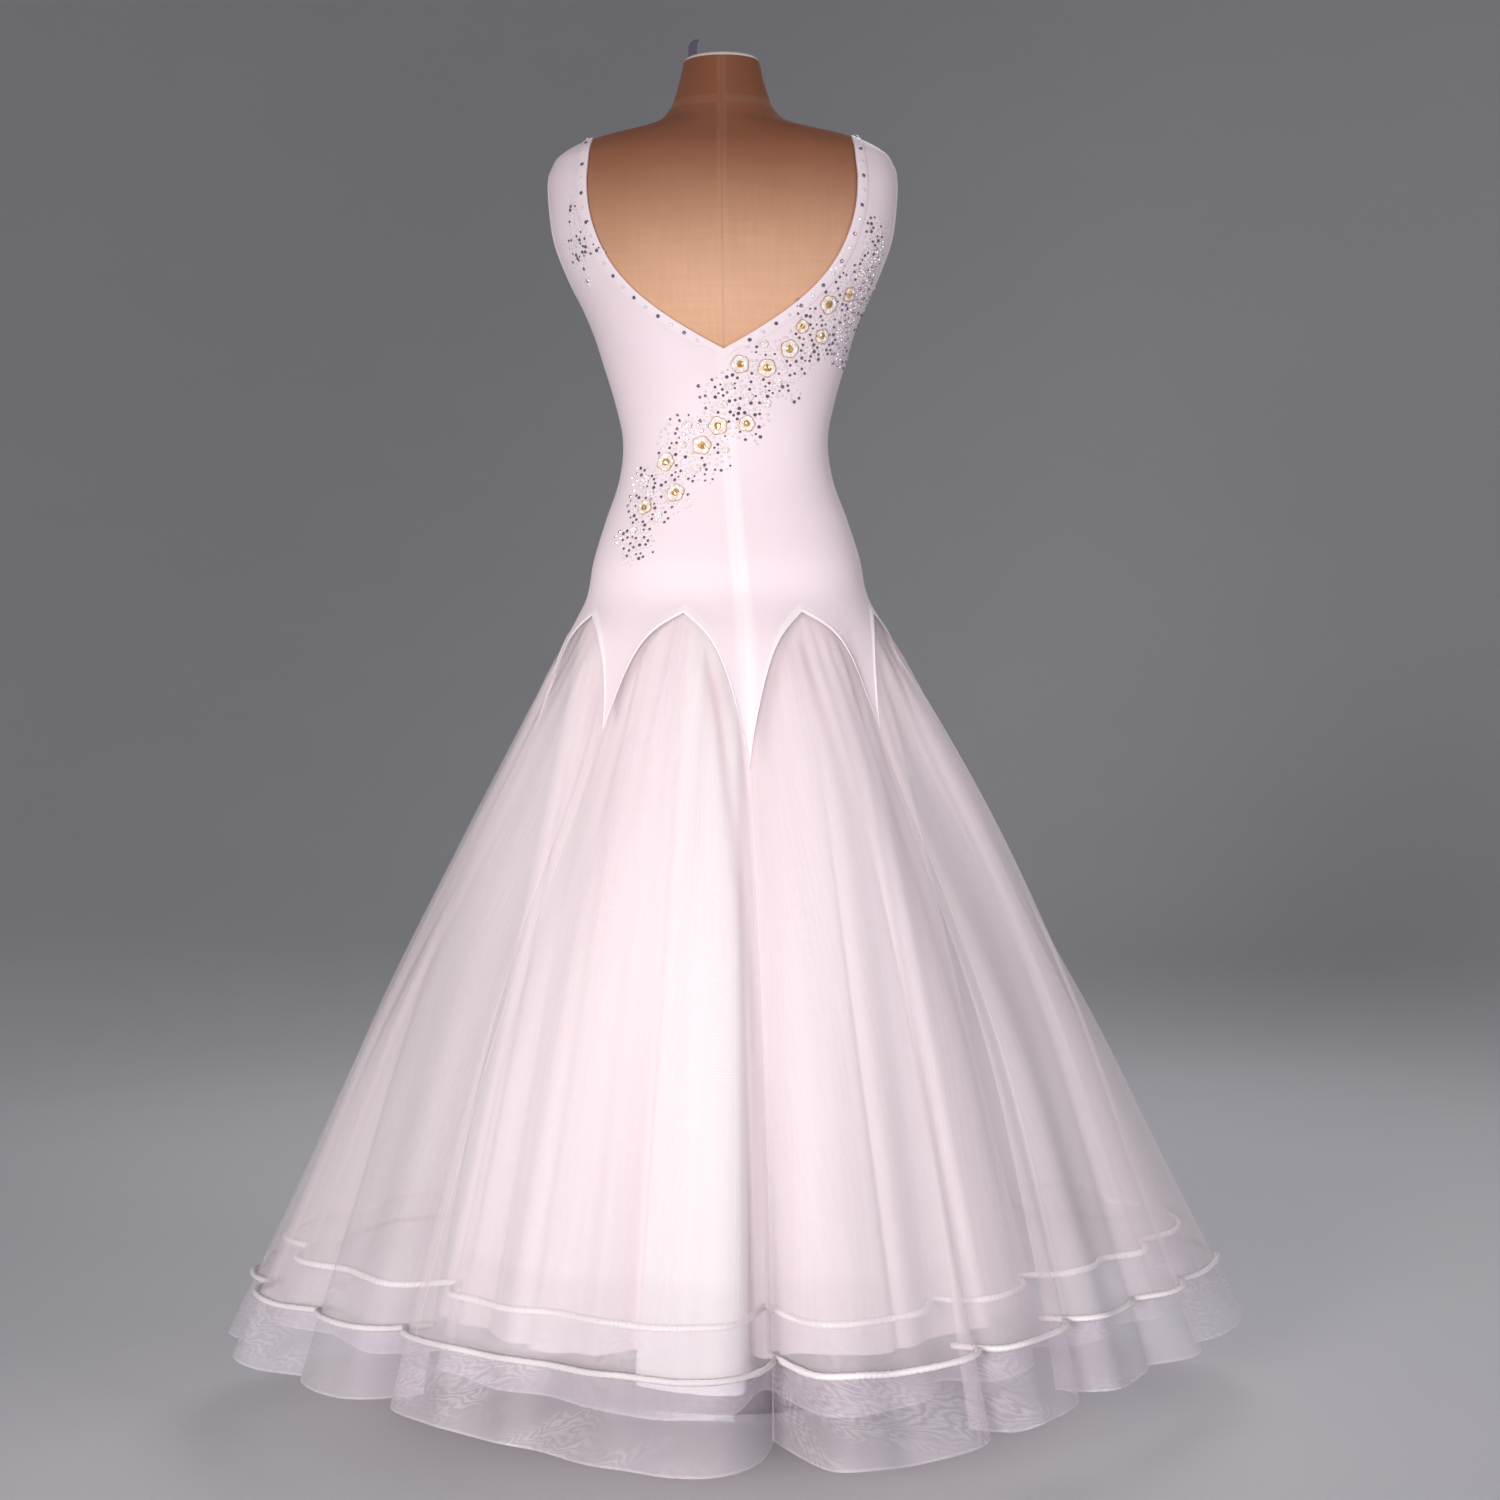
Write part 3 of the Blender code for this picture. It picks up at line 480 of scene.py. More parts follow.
def zipFinish():
    # woven tape with the coil's ridge along its middle
    finish = Finish("zip_tape", rough=0.5, sheen=0.2)
    u, v = finish.cloth()
    coil = finish.near(u.size(), 0.0015, 0.0024)
    teeth = v.wave(0.0015) * coil
    finish.tint(coil * 0.5 + teeth * 0.5, (0.8, 0.72, 0.77), (0.94, 0.92, 0.93))
    return finish.bump(teeth + v.wave(0.0008) * 0.2, 0.0004, 0.9)


def steelFinish():
    # brushed steel: fine lengthwise scratches and cloudy wear
    finish = Finish("stand_steel", metal=1.0)
    brushed = finish.noise(320.0, 3.0, (1, 1, 0.03))
    worn = finish.noise(14.0, 4.0)
    finish.tint(worn, (0.42, 0.42, 0.44), (0.66, 0.66, 0.68), rough=brushed * 0.18 + worn * 0.14 + 0.2)
    return finish.bump(brushed, 0.0001, 0.5)


def crystalFinish():
    # foiled glass: each stone has its own tone, from smoky violet to clear and pale pink
    finish = Finish("crystal", rough=0.1, coat=0.8, coatRough=0.03, specular=0.8)
    tone = finish.mark("tone")
    clearer, pink = finish.fade(tone, 0.44, 0.46), finish.fade(tone, 0.94, 0.95)
    speck = finish.noise(900.0, 1.0)
    clear = finish.mix(speck, (0.8, 0.8, 0.85), (1.0, 1.0, 1.0))
    smoky = finish.mix(speck, (0.15, 0.11, 0.18), (0.5, 0.4, 0.52))
    plain = finish.mix(clearer, smoky, clear)
    return finish.tint(pink, plain, (0.62, 0.22, 0.26), metal=clearer * -0.55 + 0.75)


def goldFinish():
    # small gilt beads, some duller than others
    finish = Finish("gilt_bead", metal=0.65)
    worn = finish.noise(500.0)
    bright = finish.fade(worn, 0.35, 0.65)
    return finish.tint(bright, (0.66, 0.32, 0.08), (1.0, 0.7, 0.32), rough=worn * 0.25 + 0.12)


def petalFinish():
    # pearly petals: satin white with cloudy tints and a fine grain
    finish = Finish("pearl_petal", rough=0.25, sheen=0.3, specular=0.7, coat=0.5, coatRough=0.12)
    veins = finish.noise(1400.0)
    tint = finish.fade(finish.noise(260.0), 0.35, 0.65)
    finish.tint(tint * 0.7 + veins * 0.3, (0.78, 0.68, 0.64), (0.99, 0.97, 0.95))
    return finish.bump(veins, 0.0002, 0.7)


bodice = {
    "archTop": 0.889, "tabLength": 0.172, "sideTabLength": 0.132, "strap": 1.385, "shoulder": 1.438,
    "shoulderEnd": 1.457, "shoulderIn": 0.149, "shoulderOut": 0.199, "underarm": 1.255, "evened": 1.02,
    "back": {"tip": 1.187, "fullness": 3.3, "armhole": 12.0},
    "front": {"tip": 1.324, "fullness": 2.4, "armhole": 25.0},
    "columns": 64, "tabRows": 18, "levelRows": 55, "shoulderRows": 16,
    "binding": 0.011, "bindingShare": 0.12, "bindingWall": 0.0006, "bindingPale": 0.3, "crown": 0.0004,
    "mitre": 0.012, "zipHalf": 0.01, "zipWall": 0.0008,
    "archRidge": 0.001, "archRidgeWidth": 0.0016, "armholeRidge": 0.0005, "zipRidge": 0.0005,
    "stitch": 0.0014,
    # distances over which the doubled edges and the zip's ridge and strip end
    "archEnds": (0.0042, 0.0056), "armholeEnds": (0.004, 0.0055), "ridgeEnds": (0.006, 0.012),
    "stripEnds": (0.007, 0.0125),
}
skirt = {
    # turn, depth as a share of the radius, width in degrees
    "folds": np.array([
        [0.0, 0.23, 3.4], [22.5, 0.11, 3.6], [42.2, 0.1, 3.6], [59.1, 0.045, 4.6], [73.1, 0.06, 4.8],
        [101.3, 0.08, 4.8], [123.8, 0.085, 4.6], [146.3, 0.07, 5.0], [174.4, 0.11, 4.6],
        [-163.1, 0.06, 4.8], [-140.6, 0.095, 4.6], [-112.5, 0.07, 4.8], [-84.4, 0.055, 4.8],
        [-67.5, 0.05, 4.6], [-50.6, 0.12, 3.6], [-25.3, 0.02, 5.0]]),
    # turn of the crest, how far it is pushed at the hem, width in degrees
    "laps": np.array([
        [-2.6, 0.016, 2.4], [19.4, 0.044, 3.2], [39.2, 0.04, 3.2], [56.0, 0.018, 3.2], [76.0, -0.024, 3.2],
        [98.0, 0.026, 3.2], [127.0, -0.026, 3.2], [143.0, 0.024, 3.2], [171.0, 0.03, 3.2],
        [-160.0, -0.02, 3.2], [-137.4, -0.03, 3.2], [-115.6, 0.022, 3.2], [-81.2, -0.02, 3.2],
        [-64.4, -0.018, 3.2], [-47.4, -0.046, 3.2]]),
    # waves round the skirt, depth at the hem, phase in degrees
    "flutes": np.array([[17, 0.004, 40], [29, 0.003, 200], [46, 0.0015, 90]]),
    # pleats under the arches, whose strength also sets their painted shade: gore, place across it at the arch
    # and far down, width, strength, reach
    "pleats": np.array([
        [0, -0.2, -0.16, 0.11, 1.0, 0.16], [0, 0.3, 0.42, 0.1, 0.4, 0.2],
        [1, 0.15, 0.3, 0.12, 0.7, 0.2], [2, -0.3, -0.2, 0.11, 0.6, 0.18],
        [3, 0.2, 0.35, 0.11, 0.7, 0.2], [4, -0.2, -0.35, 0.11, 0.7, 0.2],
        [5, 0.3, 0.2, 0.11, 0.6, 0.18], [6, 0.72, 0.8, 0.12, 0.8, 0.18],
        [7, -0.1, -0.2, 0.09, 0.4, 0.18], [7, 0.4, 0.93, 0.12, 1.2, 0.45]]),
    # waves of the stiff bands' lower edges: waves in the round, height, phase
    "ruffle": np.array([[46, 1.0, 0], [71, 0.6, 40]]),
    "pleatDepth": 0.003, "pleatDrift": 0.12, "pleatNarrowing": 0.2,
    # gatherShade is how far down the painted shade under the arches reaches
    "gather": 0.0022, "gatherReach": 0.16, "gatherShade": 0.07,
    "tipDip": 0.0055, "tipWidth": 0.13, "tipReach": 0.22, "edgeTuck": 0.0017, "overlap": 0.003,
    "gores": 8, "columns": 90, "rows": 110, "tuck": 0.14, "tuckDown": 0.22, "cornerDraw": 0.14,
    "bandTop": 0.14, "cordRadius": 0.0037, "cordTwist": 0.009, "cordPlait": 0.0062,
    "cordSteps": 1400, "cordSides": 10,
}


def archEdge(turn):
    # height of the bodice's lower edge: from each arch's tip it falls by 0.3 s + 0.7 s^4 of a tab's length,
    # which is longest at centre back and centre front
    share = np.abs((turn / 45) % 1 - 0.5) * 2
    central = np.round(turn / 45) % 4 == 0
    length = np.where(central, bodice["tabLength"], bodice["sideTabLength"])
    return bodice["archTop"] - length * (0.3 * share + 0.7 * share ** 4)


def neckHalfWidth(neck, z):
    # half the opening: its full width times 1 - (1 - s)^fullness, where s is the share of the way up
    share = np.clip((z - neck["tip"]) / (bodice["shoulder"] - neck["tip"]), 0, 1)
    return bodice["shoulderIn"] * (1 - (1 - share) ** neck["fullness"])


def turnAtX(x, z):
    # the turn whose sine is x over the half width
    return np.degrees(np.arcsin(np.clip(x / alongTable(dress["levels"], z, 1), 0, 0.99999)))


def panel(neck, shares):
    # (turn, height) of one side of a panel: level rows over the body, bent to the arches below and over the
    # shoulder above; a share of 0 is the centre or the neck edge, and 1 the side seam or the armhole
    edge = archEdge(90 * shares)
    lift = (np.arange(bodice["tabRows"]) / bodice["tabRows"])[:, None] ** 2
    tabs = np.broadcast_to(90 * shares, (len(lift), len(shares))), edge + (dress["hip"] - edge) * lift

    below = np.linspace(dress["hip"], neck["tip"], bodice["levelRows"], endpoint=False)
    z = np.concatenate([below, np.linspace(neck["tip"], bodice["strap"], bodice["levelRows"])])[:, None]
    slant = (neckHalfWidth(neck, z + 0.0005) - neckHalfWidth(neck, z - 0.0005)) / 0.001
    opened = z >= neck["tip"]
    edgeX = np.where(opened, neckHalfWidth(neck, z), 0)
    boundX = np.where(opened, edgeX + bodice["binding"] * np.hypot(1, slant), bodice["zipHalf"])
    up = np.clip((z - bodice["underarm"]) / (bodice["shoulder"] - bodice["underarm"]), 0, 1)
    inner, bound = turnAtX(edgeX, z), turnAtX(boundX, z)
    outer = 90 - neck["armhole"] * np.sin(np.pi * up ** 0.7) ** 0.8
    near = bodice["bindingShare"]
    even = np.where(shares <= near, inner + (bound - inner) * shares / near,
                    bound + (outer - bound) * (shares - near) / (1 - near))
    evened = smooth(z, dress["hip"], bodice["evened"])
    levels = 90 * shares * (1 - evened) + even * evened, np.broadcast_to(z, even.shape)

    over = (np.arange(1, bodice["shoulderRows"] + 1) / bodice["shoulderRows"])[:, None]
    heights = np.linspace(bodice["strap"] + 0.005, bodice["shoulderEnd"], 400)
    widths = alongTable(dress["levels"], heights, 1)
    across = np.interp(shares, [0, near, 1], [0, 0.2, 1])
    seamX = bodice["shoulderIn"] + (bodice["shoulderOut"] - bodice["shoulderIn"]) * across
    top = np.interp(seamX, widths[::-1], heights[::-1])
    strapX = alongTable(dress["levels"], bodice["strap"], 1) * np.sin(np.radians(levels[0][-1]))
    z = top - (top - bodice["strap"]) * (1 - over) ** 2
    turn = np.where(over == 1, 90, turnAtX(strapX + (seamX - strapX) * over, z))
    return [np.concatenate(each) for each in zip(tabs, levels, (turn, z))]


def onSide(turn, face, side):
    # a panel's turn placed on the back or the front, on the wearer's right (side 1) or left (side -1), and
    # the step through its columns that points its faces outwards
    return (side * turn, side) if face == "back" else (side * (180 - turn), -side)


def bodiceGrid(face, side):
    # the dress's surface, raised along the arches, the armhole and the centre seam
    tip = bodice["back"]["tip"]
    turn, z = panel(bodice[face], np.linspace(0, 1, bodice["columns"] + 1))
    placed, step = onSide(turn, face, side)
    points = dressPoint(placed, z)
    above = (z - archEdge(turn)) / np.hypot(1, 1.6)
    width = bodice["archRidgeWidth"]
    arch = bodice["archRidge"] * bell(above - width, width) * (z < dress["hip"])
    u = clothUv(points)[..., 0]
    arm = smooth(z, bodice["underarm"], bodice["underarm"] + 0.01) * (
        1 - smooth(np.abs(u[:, -1:] - u), *bodice["armholeEnds"]))
    fromCentre = np.abs(points[..., 0] - points[:, :1, 0])
    zipped = face == "back"
    seam = zipped * (1 - smooth(z, tip - bodice["mitre"], tip)) * bodice["zipRidge"] * (
        1 - smooth(fromCentre, *bodice["ridgeEnds"]) - 0.8 * bell(fromCentre, bodice["stitch"]))
    strip = zipped * (z < tip) * (1 - smooth(fromCentre, *bodice["stripEnds"])) * (
        0.8 - 0.5 * smooth(z, 1.0, 1.12))
    double = np.maximum(strip, np.maximum(1 - smooth(above, *bodice["archEnds"]), arm))
    grid = raised(dressPoint, placed, z, arch + bodice["armholeRidge"] * arm + seam)
    return grid[:, ::step], double[:, ::step]


def makeBodice(jersey):
    ends = {"back_left": ("back", [-1]), "back_right": ("back", [1]), "front": ("front", [1, -1])}
    for end, (face, sides) in ends.items():
        grids, double = zip(*[bodiceGrid(face, side) for side in sides])
        piece = addGrids("bodice_panel_" + end, grids, jersey, "stretch_cloth", "bodice_" + end,
                         wall=dress["wall"], marks={"double": double})
        declareSheet(piece, grids)
    print("bodice made")


def bindingGrid(face, side):
    # the strip along a neck edge: a fan from the mitre under the tip, then the panel's own first columns
    neck, shares = bodice[face], np.linspace(0, 1, 9)
    turn, z = panel(neck, shares * bodice["bindingShare"])
    first = int(np.argmax(z[:, 0] >= neck["tip"] - 1e-9))
    fan = np.linspace(0, 1, 8, endpoint=False)[:, None]
    turn = np.concatenate([fan * turn[[first]], turn[first:]])
    z = np.concatenate([neck["tip"] - (1 - fan) * bodice["mitre"] * shares, z[first:]])
    crown = 1 - (2 * shares - 1) ** 4 - 0.35 * bell(shares - 0.84, 0.05)
    placed, step = onSide(turn, face, side)
    height = dress["seamGap"] + bodice["bindingWall"] + bodice["crown"] * crown
    return raised(dressPoint, placed, z, height)[:, ::step]


def makeBinding(jersey):
    grids = [bindingGrid(face, side) for face in ("back", "front") for side in (1, -1)]
    pale = [np.full(grid.shape[:2], bodice["bindingPale"]) for grid in grids]
    piece = addGrids("neck_edge_binding", grids, jersey, "stretch_cloth", "neck_binding",
                     wall=bodice["bindingWall"], marks={"double": pale})


def makeZip():
    # level rows behind the back panels' seam, from the hips up to the mitre
    z = np.linspace(dress["hip"], bodice["back"]["tip"] - bodice["mitre"], 90)[:, None]
    across = np.linspace(-bodice["zipHalf"], bodice["zipHalf"], 11)
    turn = turnAtX(np.abs(across), z) * np.sign(across)
    grids = [raised(dressPoint, turn, z, -(dress["wall"] + bodice["zipWall"] / 2))]
    piece = addGrids("zip_tape", grids, zipFinish(), "stretch_cloth", "back_zip", wall=bodice["zipWall"])
    declareSheet(piece, grids)


def pleatMark(number, share, below):
    # the sum of one bell curve across the gore for each of its pleats, which drifts from its place at the
    # arch to its place far down, narrows, and fades by its reach
    mark = 0 * (share + below)
    for gore, start, end, width, strength, reach in skirt["pleats"]:
        if gore == number:
            centre = end + (start - end) * np.exp(-below / skirt["pleatDrift"])
            narrowed = width * (0.4 + 0.6 * np.exp(-below / skirt["pleatNarrowing"]))
            mark = mark + strength * np.exp(-((share - centre) / narrowed) ** 2 - below / reach)
    return mark * smooth(below, 0.004, 0.05)


def makeGores(organza):
    # each gore: columns across it, rows from its arch down to the stiff band; it is gathered and pleated
    # under the arch, falls in from the arch's tip, and lies behind the bodice's edge
    share = np.linspace(-1, 1, skirt["columns"] + 1)[None]
    down = (np.linspace(1, 0, skirt["rows"] + 1) ** 1.3)[:, None]
    for number in range(skirt["gores"]):
        turn = (number + 0.5) * 45 + 22.5 * share + 0 * down
        top = archEdge(turn) + skirt["overlap"]
        z = top + (skirt["bandTop"] + 0.0002 - top) * down
        below = top - z
        phase = share * math.tau
        waves = (np.cos(phase * 2.5 + number) + 0.6 * np.cos(phase * 4.5 + 2 * number)) * skirt["gather"] * (
            smooth(below, 0.004, 0.05) * np.exp(-below / skirt["gatherReach"]))
        dip = skirt["tipDip"] * bell(share, skirt["tipWidth"]) * (
            smooth(below, 0.01, 0.06)) * np.exp(-below / skirt["tipReach"])
        tucked = skirt["edgeTuck"] * (1 - smooth(below, 0.003, 0.006))
        # the pleats sink the cloth, make it denser, and carry painted shade along their valleys
        pleat = pleatMark(number, share, below)
        # the gather mark: denser gathered cloth, and painted shade under the arch in soft stripes that fade
        # downwards
        gather = smooth(below, 0.0, 0.012) * (
            np.exp(-below / skirt["gatherShade"]) * (0.5 + 0.4 * np.cos(phase * 2.5 + number + 2.6)))
        points = raised(fluted, turn, z, waves - dip - tucked - skirt["pleatDepth"] * pleat)
        u = clothUv(points)[..., 0]
        edge = np.minimum(u - u[:, :1], u[:, -1:] - u)
        piece = addGrids(f"gore_{number + 1}", [points], organza, "organza", f"skirt_gore_{number + 1}",
                         marks={"edge": [edge], "gather": [gather], "pleat": [pleat]})
        declareSheet(piece, [points])
    print("skirt gores made")


def hemHeight(turn, lowest):
    # lowest at centre back and front, and raised to the sides by the square of the sine
    return lowest + dress["hemRise"] * np.sin(np.radians(turn)) ** 2


def ringGrid(surface, bottom, top, rows, columns, ripple):
    # a ring of cloth from a hem, which may rise to the sides, up to a level; its lower edge is ruffled
    turn = np.linspace(0, 360, columns + 1)[None]
    up = np.linspace(0, 1, rows + 1)[:, None]
    low = bottom(turn)
    waves = ripple * ripples(skirt["ruffle"], turn) * (1 - up) ** 1.5
    return raised(surface, turn, low + (top - low) * up, waves)


def addCord(name, node, surface, z, finish):
    # a ring of cord: round the path beside the cloth, swollen a little by its plaited strands; its rows run
    # along the cord and its columns round it
    turn = np.linspace(0, 360, skirt["cordSteps"], endpoint=False)
    z = np.full_like(turn, z)
    out = outward(surface, turn, z)
    path = surface(turn, z) + out * (dress["seamGap"] + skirt["cordRadius"])
    up = np.cross(unit(np.roll(path, -1, 0) - np.roll(path, 1, 0)), out)
    length = run(np.concatenate([path, path[:1]]))[1:, None]
    angle = np.linspace(0, math.tau, skirt["cordSides"] + 1)
    swell = skirt["cordRadius"] * (0.9 + 0.05 * np.cos(2 * angle + length * math.tau / skirt["cordTwist"])
                                   + 0.05 * np.cos(length * math.tau / skirt["cordPlait"]))
    ring = path[:, None] + (out[:, None] * np.cos(angle)[:, None]
                            + up[:, None] * np.sin(angle)[:, None]) * swell[..., None]
    addGrids(name, [np.concatenate([ring, ring[:1]])], finish, "satin_cord", node, closed=(1, 1))


under = {"top": 0.893, "bandTop": 0.181, "hem": 0.102, "inset": 0.02,
         "flutes": np.array([[19, 0.004, 10], [33, 0.0025, 120]])}
lining = {
    "hem": 0.105, "hemRadius": 0.35,
    # turns between which the cloth is folded double, and how much lower it hangs there
    "doubled": (-20.5, -3.5), "drop": 0.03,
    "folds": np.array([
        [7.5, 0.11, 7.0], [37.5, 0.08, 8.0], [60.0, 0.09, 8.0], [90.0, 0.07, 8.0], [120.0, 0.09, 8.0],
        [150.0, 0.08, 8.0], [180.0, 0.09, 8.0], [-150.0, 0.075, 8.0], [-120.0, 0.09, 8.0],
        [-90.0, 0.08, 8.0], [-60.0, 0.085, 8.0], [-22.5, 0.11, 7.0]]),
    # smaller creases between them, and laps as on the skirt
    "creases": np.array([
        [-1.5, 0.095, 2.0], [-12.0, 0.012, 2.2], [-25.0, 0.05, 2.2], [-34.0, 0.035, 2.6],
        [-46.0, 0.04, 2.6], [-72.0, 0.04, 2.6], [-104.0, 0.04, 2.6], [-136.0, 0.035, 2.6],
        [-166.0, 0.04, 2.6], [16.0, 0.02, 2.4], [25.0, 0.045, 2.6], [47.0, 0.035, 2.6],
        [74.0, 0.04, 2.6], [104.0, 0.035, 2.6], [136.0, 0.04, 2.6], [165.0, 0.035, 2.6]]),
    "laps": np.array([
        [-19.4, -0.018, 2.8], [-5.0, 0.01, 2.4], [22.0, 0.016, 2.8], [40.0, 0.014, 2.8], [63.0, -0.014, 3.0],
        [117.0, 0.014, 3.0], [153.0, -0.014, 3.0], [-147.0, 0.014, 3.0], [-117.0, -0.014, 3.0],
        [-57.0, -0.014, 3.0]]),
}


def underPoint(turn, z):
    # the outer skirt's point moved towards the axis, by a little at the waist and by the inset at the hem,
    # less its own flutes
    turn, z = np.broadcast_arrays(turn, z)
    point = dressPoint(turn, z)
    down = wayDown(z, under["top"], dress["hem"])
    flutes = ripples(under["flutes"], turn) * down ** 1.2
    inset = dress["wall"] + 2 * dress["layerGap"] + under["inset"] * down ** 0.5 - flutes
    shrink = 1 - inset / np.hypot(point[..., 0], point[..., 1])
    return np.concatenate([point[..., :2] * shrink[..., None], point[..., 2:]], -1)


def liningPoint(turn, z):
    # an oval that opens from the hips' section to a round hem by the power 1.05 of the way down, less its
    # folds and creases, with its laps
    turn, z = np.broadcast_arrays(turn, z)
    down = wayDown(z, under["top"], lining["hem"])
    inside = 2 * dress["wall"] + 3 * dress["layerGap"]
    extents = [alongTable(dress["levels"], under["top"], column) - inside for column in (1, 2, 3)]
    opened = [each + (lining["hemRadius"] - each) * down ** 1.05 for each in extents]
    draw = 1 - bells(lining["folds"], turn) * down ** 0.9 - bells(lining["creases"], turn) * down
    return ovalPoint(opened, np.radians(turn + twist(z)), draw, z) + (
        sideways(lining["laps"], turn, z) * down[..., None])


def doubled(turn):
    # 1 over the part of the lining that is folded double and hangs a little lower, and 0 elsewhere
    start, end = lining["doubled"]
    turn = (turn + 180) % 360 - 180
    return smooth(turn, start, start + 0.7) * (1 - smooth(turn, end, end + 0.7))


def makeSkirts(organza, underOrganza, net, cord, satin):
    makeGores(organza)
    panels = ["bodice_panel_front", "bodice_panel_back_left", "bodice_panel_back_right"]
    gores = [f"gore_{number + 1}" for number in range(skirt["gores"])]
    rings = [
        # piece, node, material, slot, surface, hem, top, rows, columns, ripple, rests on
        ("hem_net", "hem_band", net, "stiff_net", fluted,
         lambda turn: hemHeight(turn, dress["hem"]), skirt["bandTop"], 16, 1000, 0.0012, gores),
        ("under_layer", "under_skirt", underOrganza, "organza", underPoint,
         lambda turn: under["bandTop"] + 0 * turn, under["top"], 76, 520, 0.0, panels),
        ("under_net", "under_band", net, "stiff_net", underPoint,
         lambda turn: hemHeight(turn, under["hem"]), under["bandTop"], 16, 1000, 0.001, ["under_layer"]),
        ("satin_lining", "lining", satin, "lining_satin", liningPoint,
         lambda turn: lining["hem"] - lining["drop"] * doubled(turn), under["top"], 76, 520, 0.0, panels),
    ]
    for name, node, finish, slot, surface, hem, top, rows, columns, ripple, restsOn in rings:
        grid = ringGrid(surface, hem, top, rows, columns, ripple)
        lined = {}
        if finish is satin:
            folded = doubled(np.linspace(0, 360, columns + 1)) + 0 * grid[..., 2]
            lined = {"wall": dress["wall"], "marks": {"double": [folded]}}
        piece = addGrids(name, [grid], finish, slot, node, closed=(0, 1), **lined)
        declareSheet(piece, [grid])
    addCord("hem_piping", "hem_cord", fluted, skirt["bandTop"], cord)
    addCord("under_piping", "under_cord", underPoint, under["bandTop"], cord)
    print("skirts made")


form = {
    # height and how far inside the dress; height, half width, reach to the back and to the front
    "inset": np.array([[0.905, 0.009], [0.96, 0.006], [1.075, 0.0045], [1.187, 0.004], [1.24, 0.003],
                       [1.44, 0.003], [1.465, 0.0], [1.532, 0.0]]),
    "hips": np.array([[0.79, 0.128, 0.088, 0.084], [0.815, 0.144, 0.098, 0.092],
                      [0.86, 0.152, 0.104, 0.097]]),
    "bottom": 0.79, "top": 1.532, "armPlate": 0.18, "neckSeam": 1.478,
    "columns": 200, "rows": 170, "seamDepth": 0.0004, "seamWidth": 0.0012,
}


def formPoint(turn, z):
    # the dress's surface less an inset, untwisted and cut flat at the arm plates; the hips close in below it
    turn, z = np.broadcast_arrays(turn, z)
    above, below = np.maximum(z, dress["hip"]), np.minimum(z, form["hips"][-1, 0])
    own = turn - twist(above)
    inset = np.interp(above, form["inset"][:, 0], form["inset"][:, 1])[..., None]
    body = dressPoint(own, above) - outward(dressPoint, own, above) * inset
    extents = (alongTable(form["hips"], below, column) for column in (1, 2, 3))
    hips = ovalPoint(extents, np.radians(turn), 1, z)
    share = np.clip((z - form["hips"][-1, 0]) / (dress["hip"] - form["hips"][-1, 0]), 0, 1)[..., None]
    point = body * share + hips * (1 - share)
    point[..., 0] = np.clip(point[..., 0], -form["armPlate"], form["armPlate"])
    point[..., 2] = z
    return point


def lid(rim, centre):
    # two rings that close a flat end: the rim drawn level to its centre wholly, and by half
    share = np.array([0.0, 0.5])[:, None, None]
    level = np.array([1, 1, 0])
    return rim * (1 - level) + level * (rim * share + centre * (1 - share))


def makeForm():
    # the skin, pressed in a little along its centre, side and neck seams, with its ends closed
    z = np.linspace(form["bottom"], form["top"], form["rows"])[:, None]
    skin = formPoint(np.linspace(0, 360, form["columns"] + 1)[None], z)
    side = np.abs(skin[..., 1] - skin[:, form["columns"] // 4, 1][:, None]) + (z > form["neckSeam"])
    seam = np.minimum(np.minimum(np.abs(skin[..., 0]), side), np.abs(z - form["neckSeam"]))
    skin[..., 1] -= form["seamDepth"] * bell(seam, form["seamWidth"]) * np.sign(skin[..., 1])
    grid = np.concatenate([lid(skin[:1], 0), skin, lid(skin[-1:], skin[-1].mean(0))[::-1]])
    edge = np.pad(seam, ((2, 2), (0, 0)), constant_values=1.0)
    # the height mark carries the linen's painted shade towards the shoulders
    piece = addGrids("form_linen_body", [grid], linenFinish(), "form_canvas", "form_torso", closed=(0, 1),
                     marks={"seam": [edge], "height": [grid[..., 2]]})
    mergeDoubles(piece, 1e-6)
    piece.data.set_sharp_from_angle(angle=math.radians(45))
    print("form made")


tape = {
    # height above the cap, x, width
    "rows": np.array([[0.0, -0.0335, 0.01], [0.012, -0.0335, 0.01], [0.018, -0.0325, 0.0095],
                      [0.021, -0.0305, 0.008], [0.023, -0.028, 0.006]]),
    "wall": 0.00128, "bow": 0.0002,
}


def makeTape():
    # a strip that narrows and leans at its top, bowed across by a cosine
    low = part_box("tape_tab")[0]
    up = np.linspace(0, tape["rows"][-1, 0], 24)[:, None]
    middle, width = (alongTable(tape["rows"], up, column) for column in (1, 2))
    across = np.linspace(-0.5, 0.5, 9)[None]
    y = low[1] + tape["bow"] * (1 - np.cos(across * math.tau)) + 0 * up
    grid = np.stack([middle + across * width, y, low[2] + up + 0 * y], -1)
    addGrids("tape_hook", [grid], tapeFinish(), "grey_tape", "tape_tab", wall=tape["wall"])


def finishNodes(board, steel):
    # the solids that stay get their own materials
    for name in ("neck_cap", "stand_base", "stand_pole", "stand_flange"):
        finish = board if name == "neck_cap" else steel
        for slot in bpy.data.objects[name].material_slots:
            slot.material = finish.material


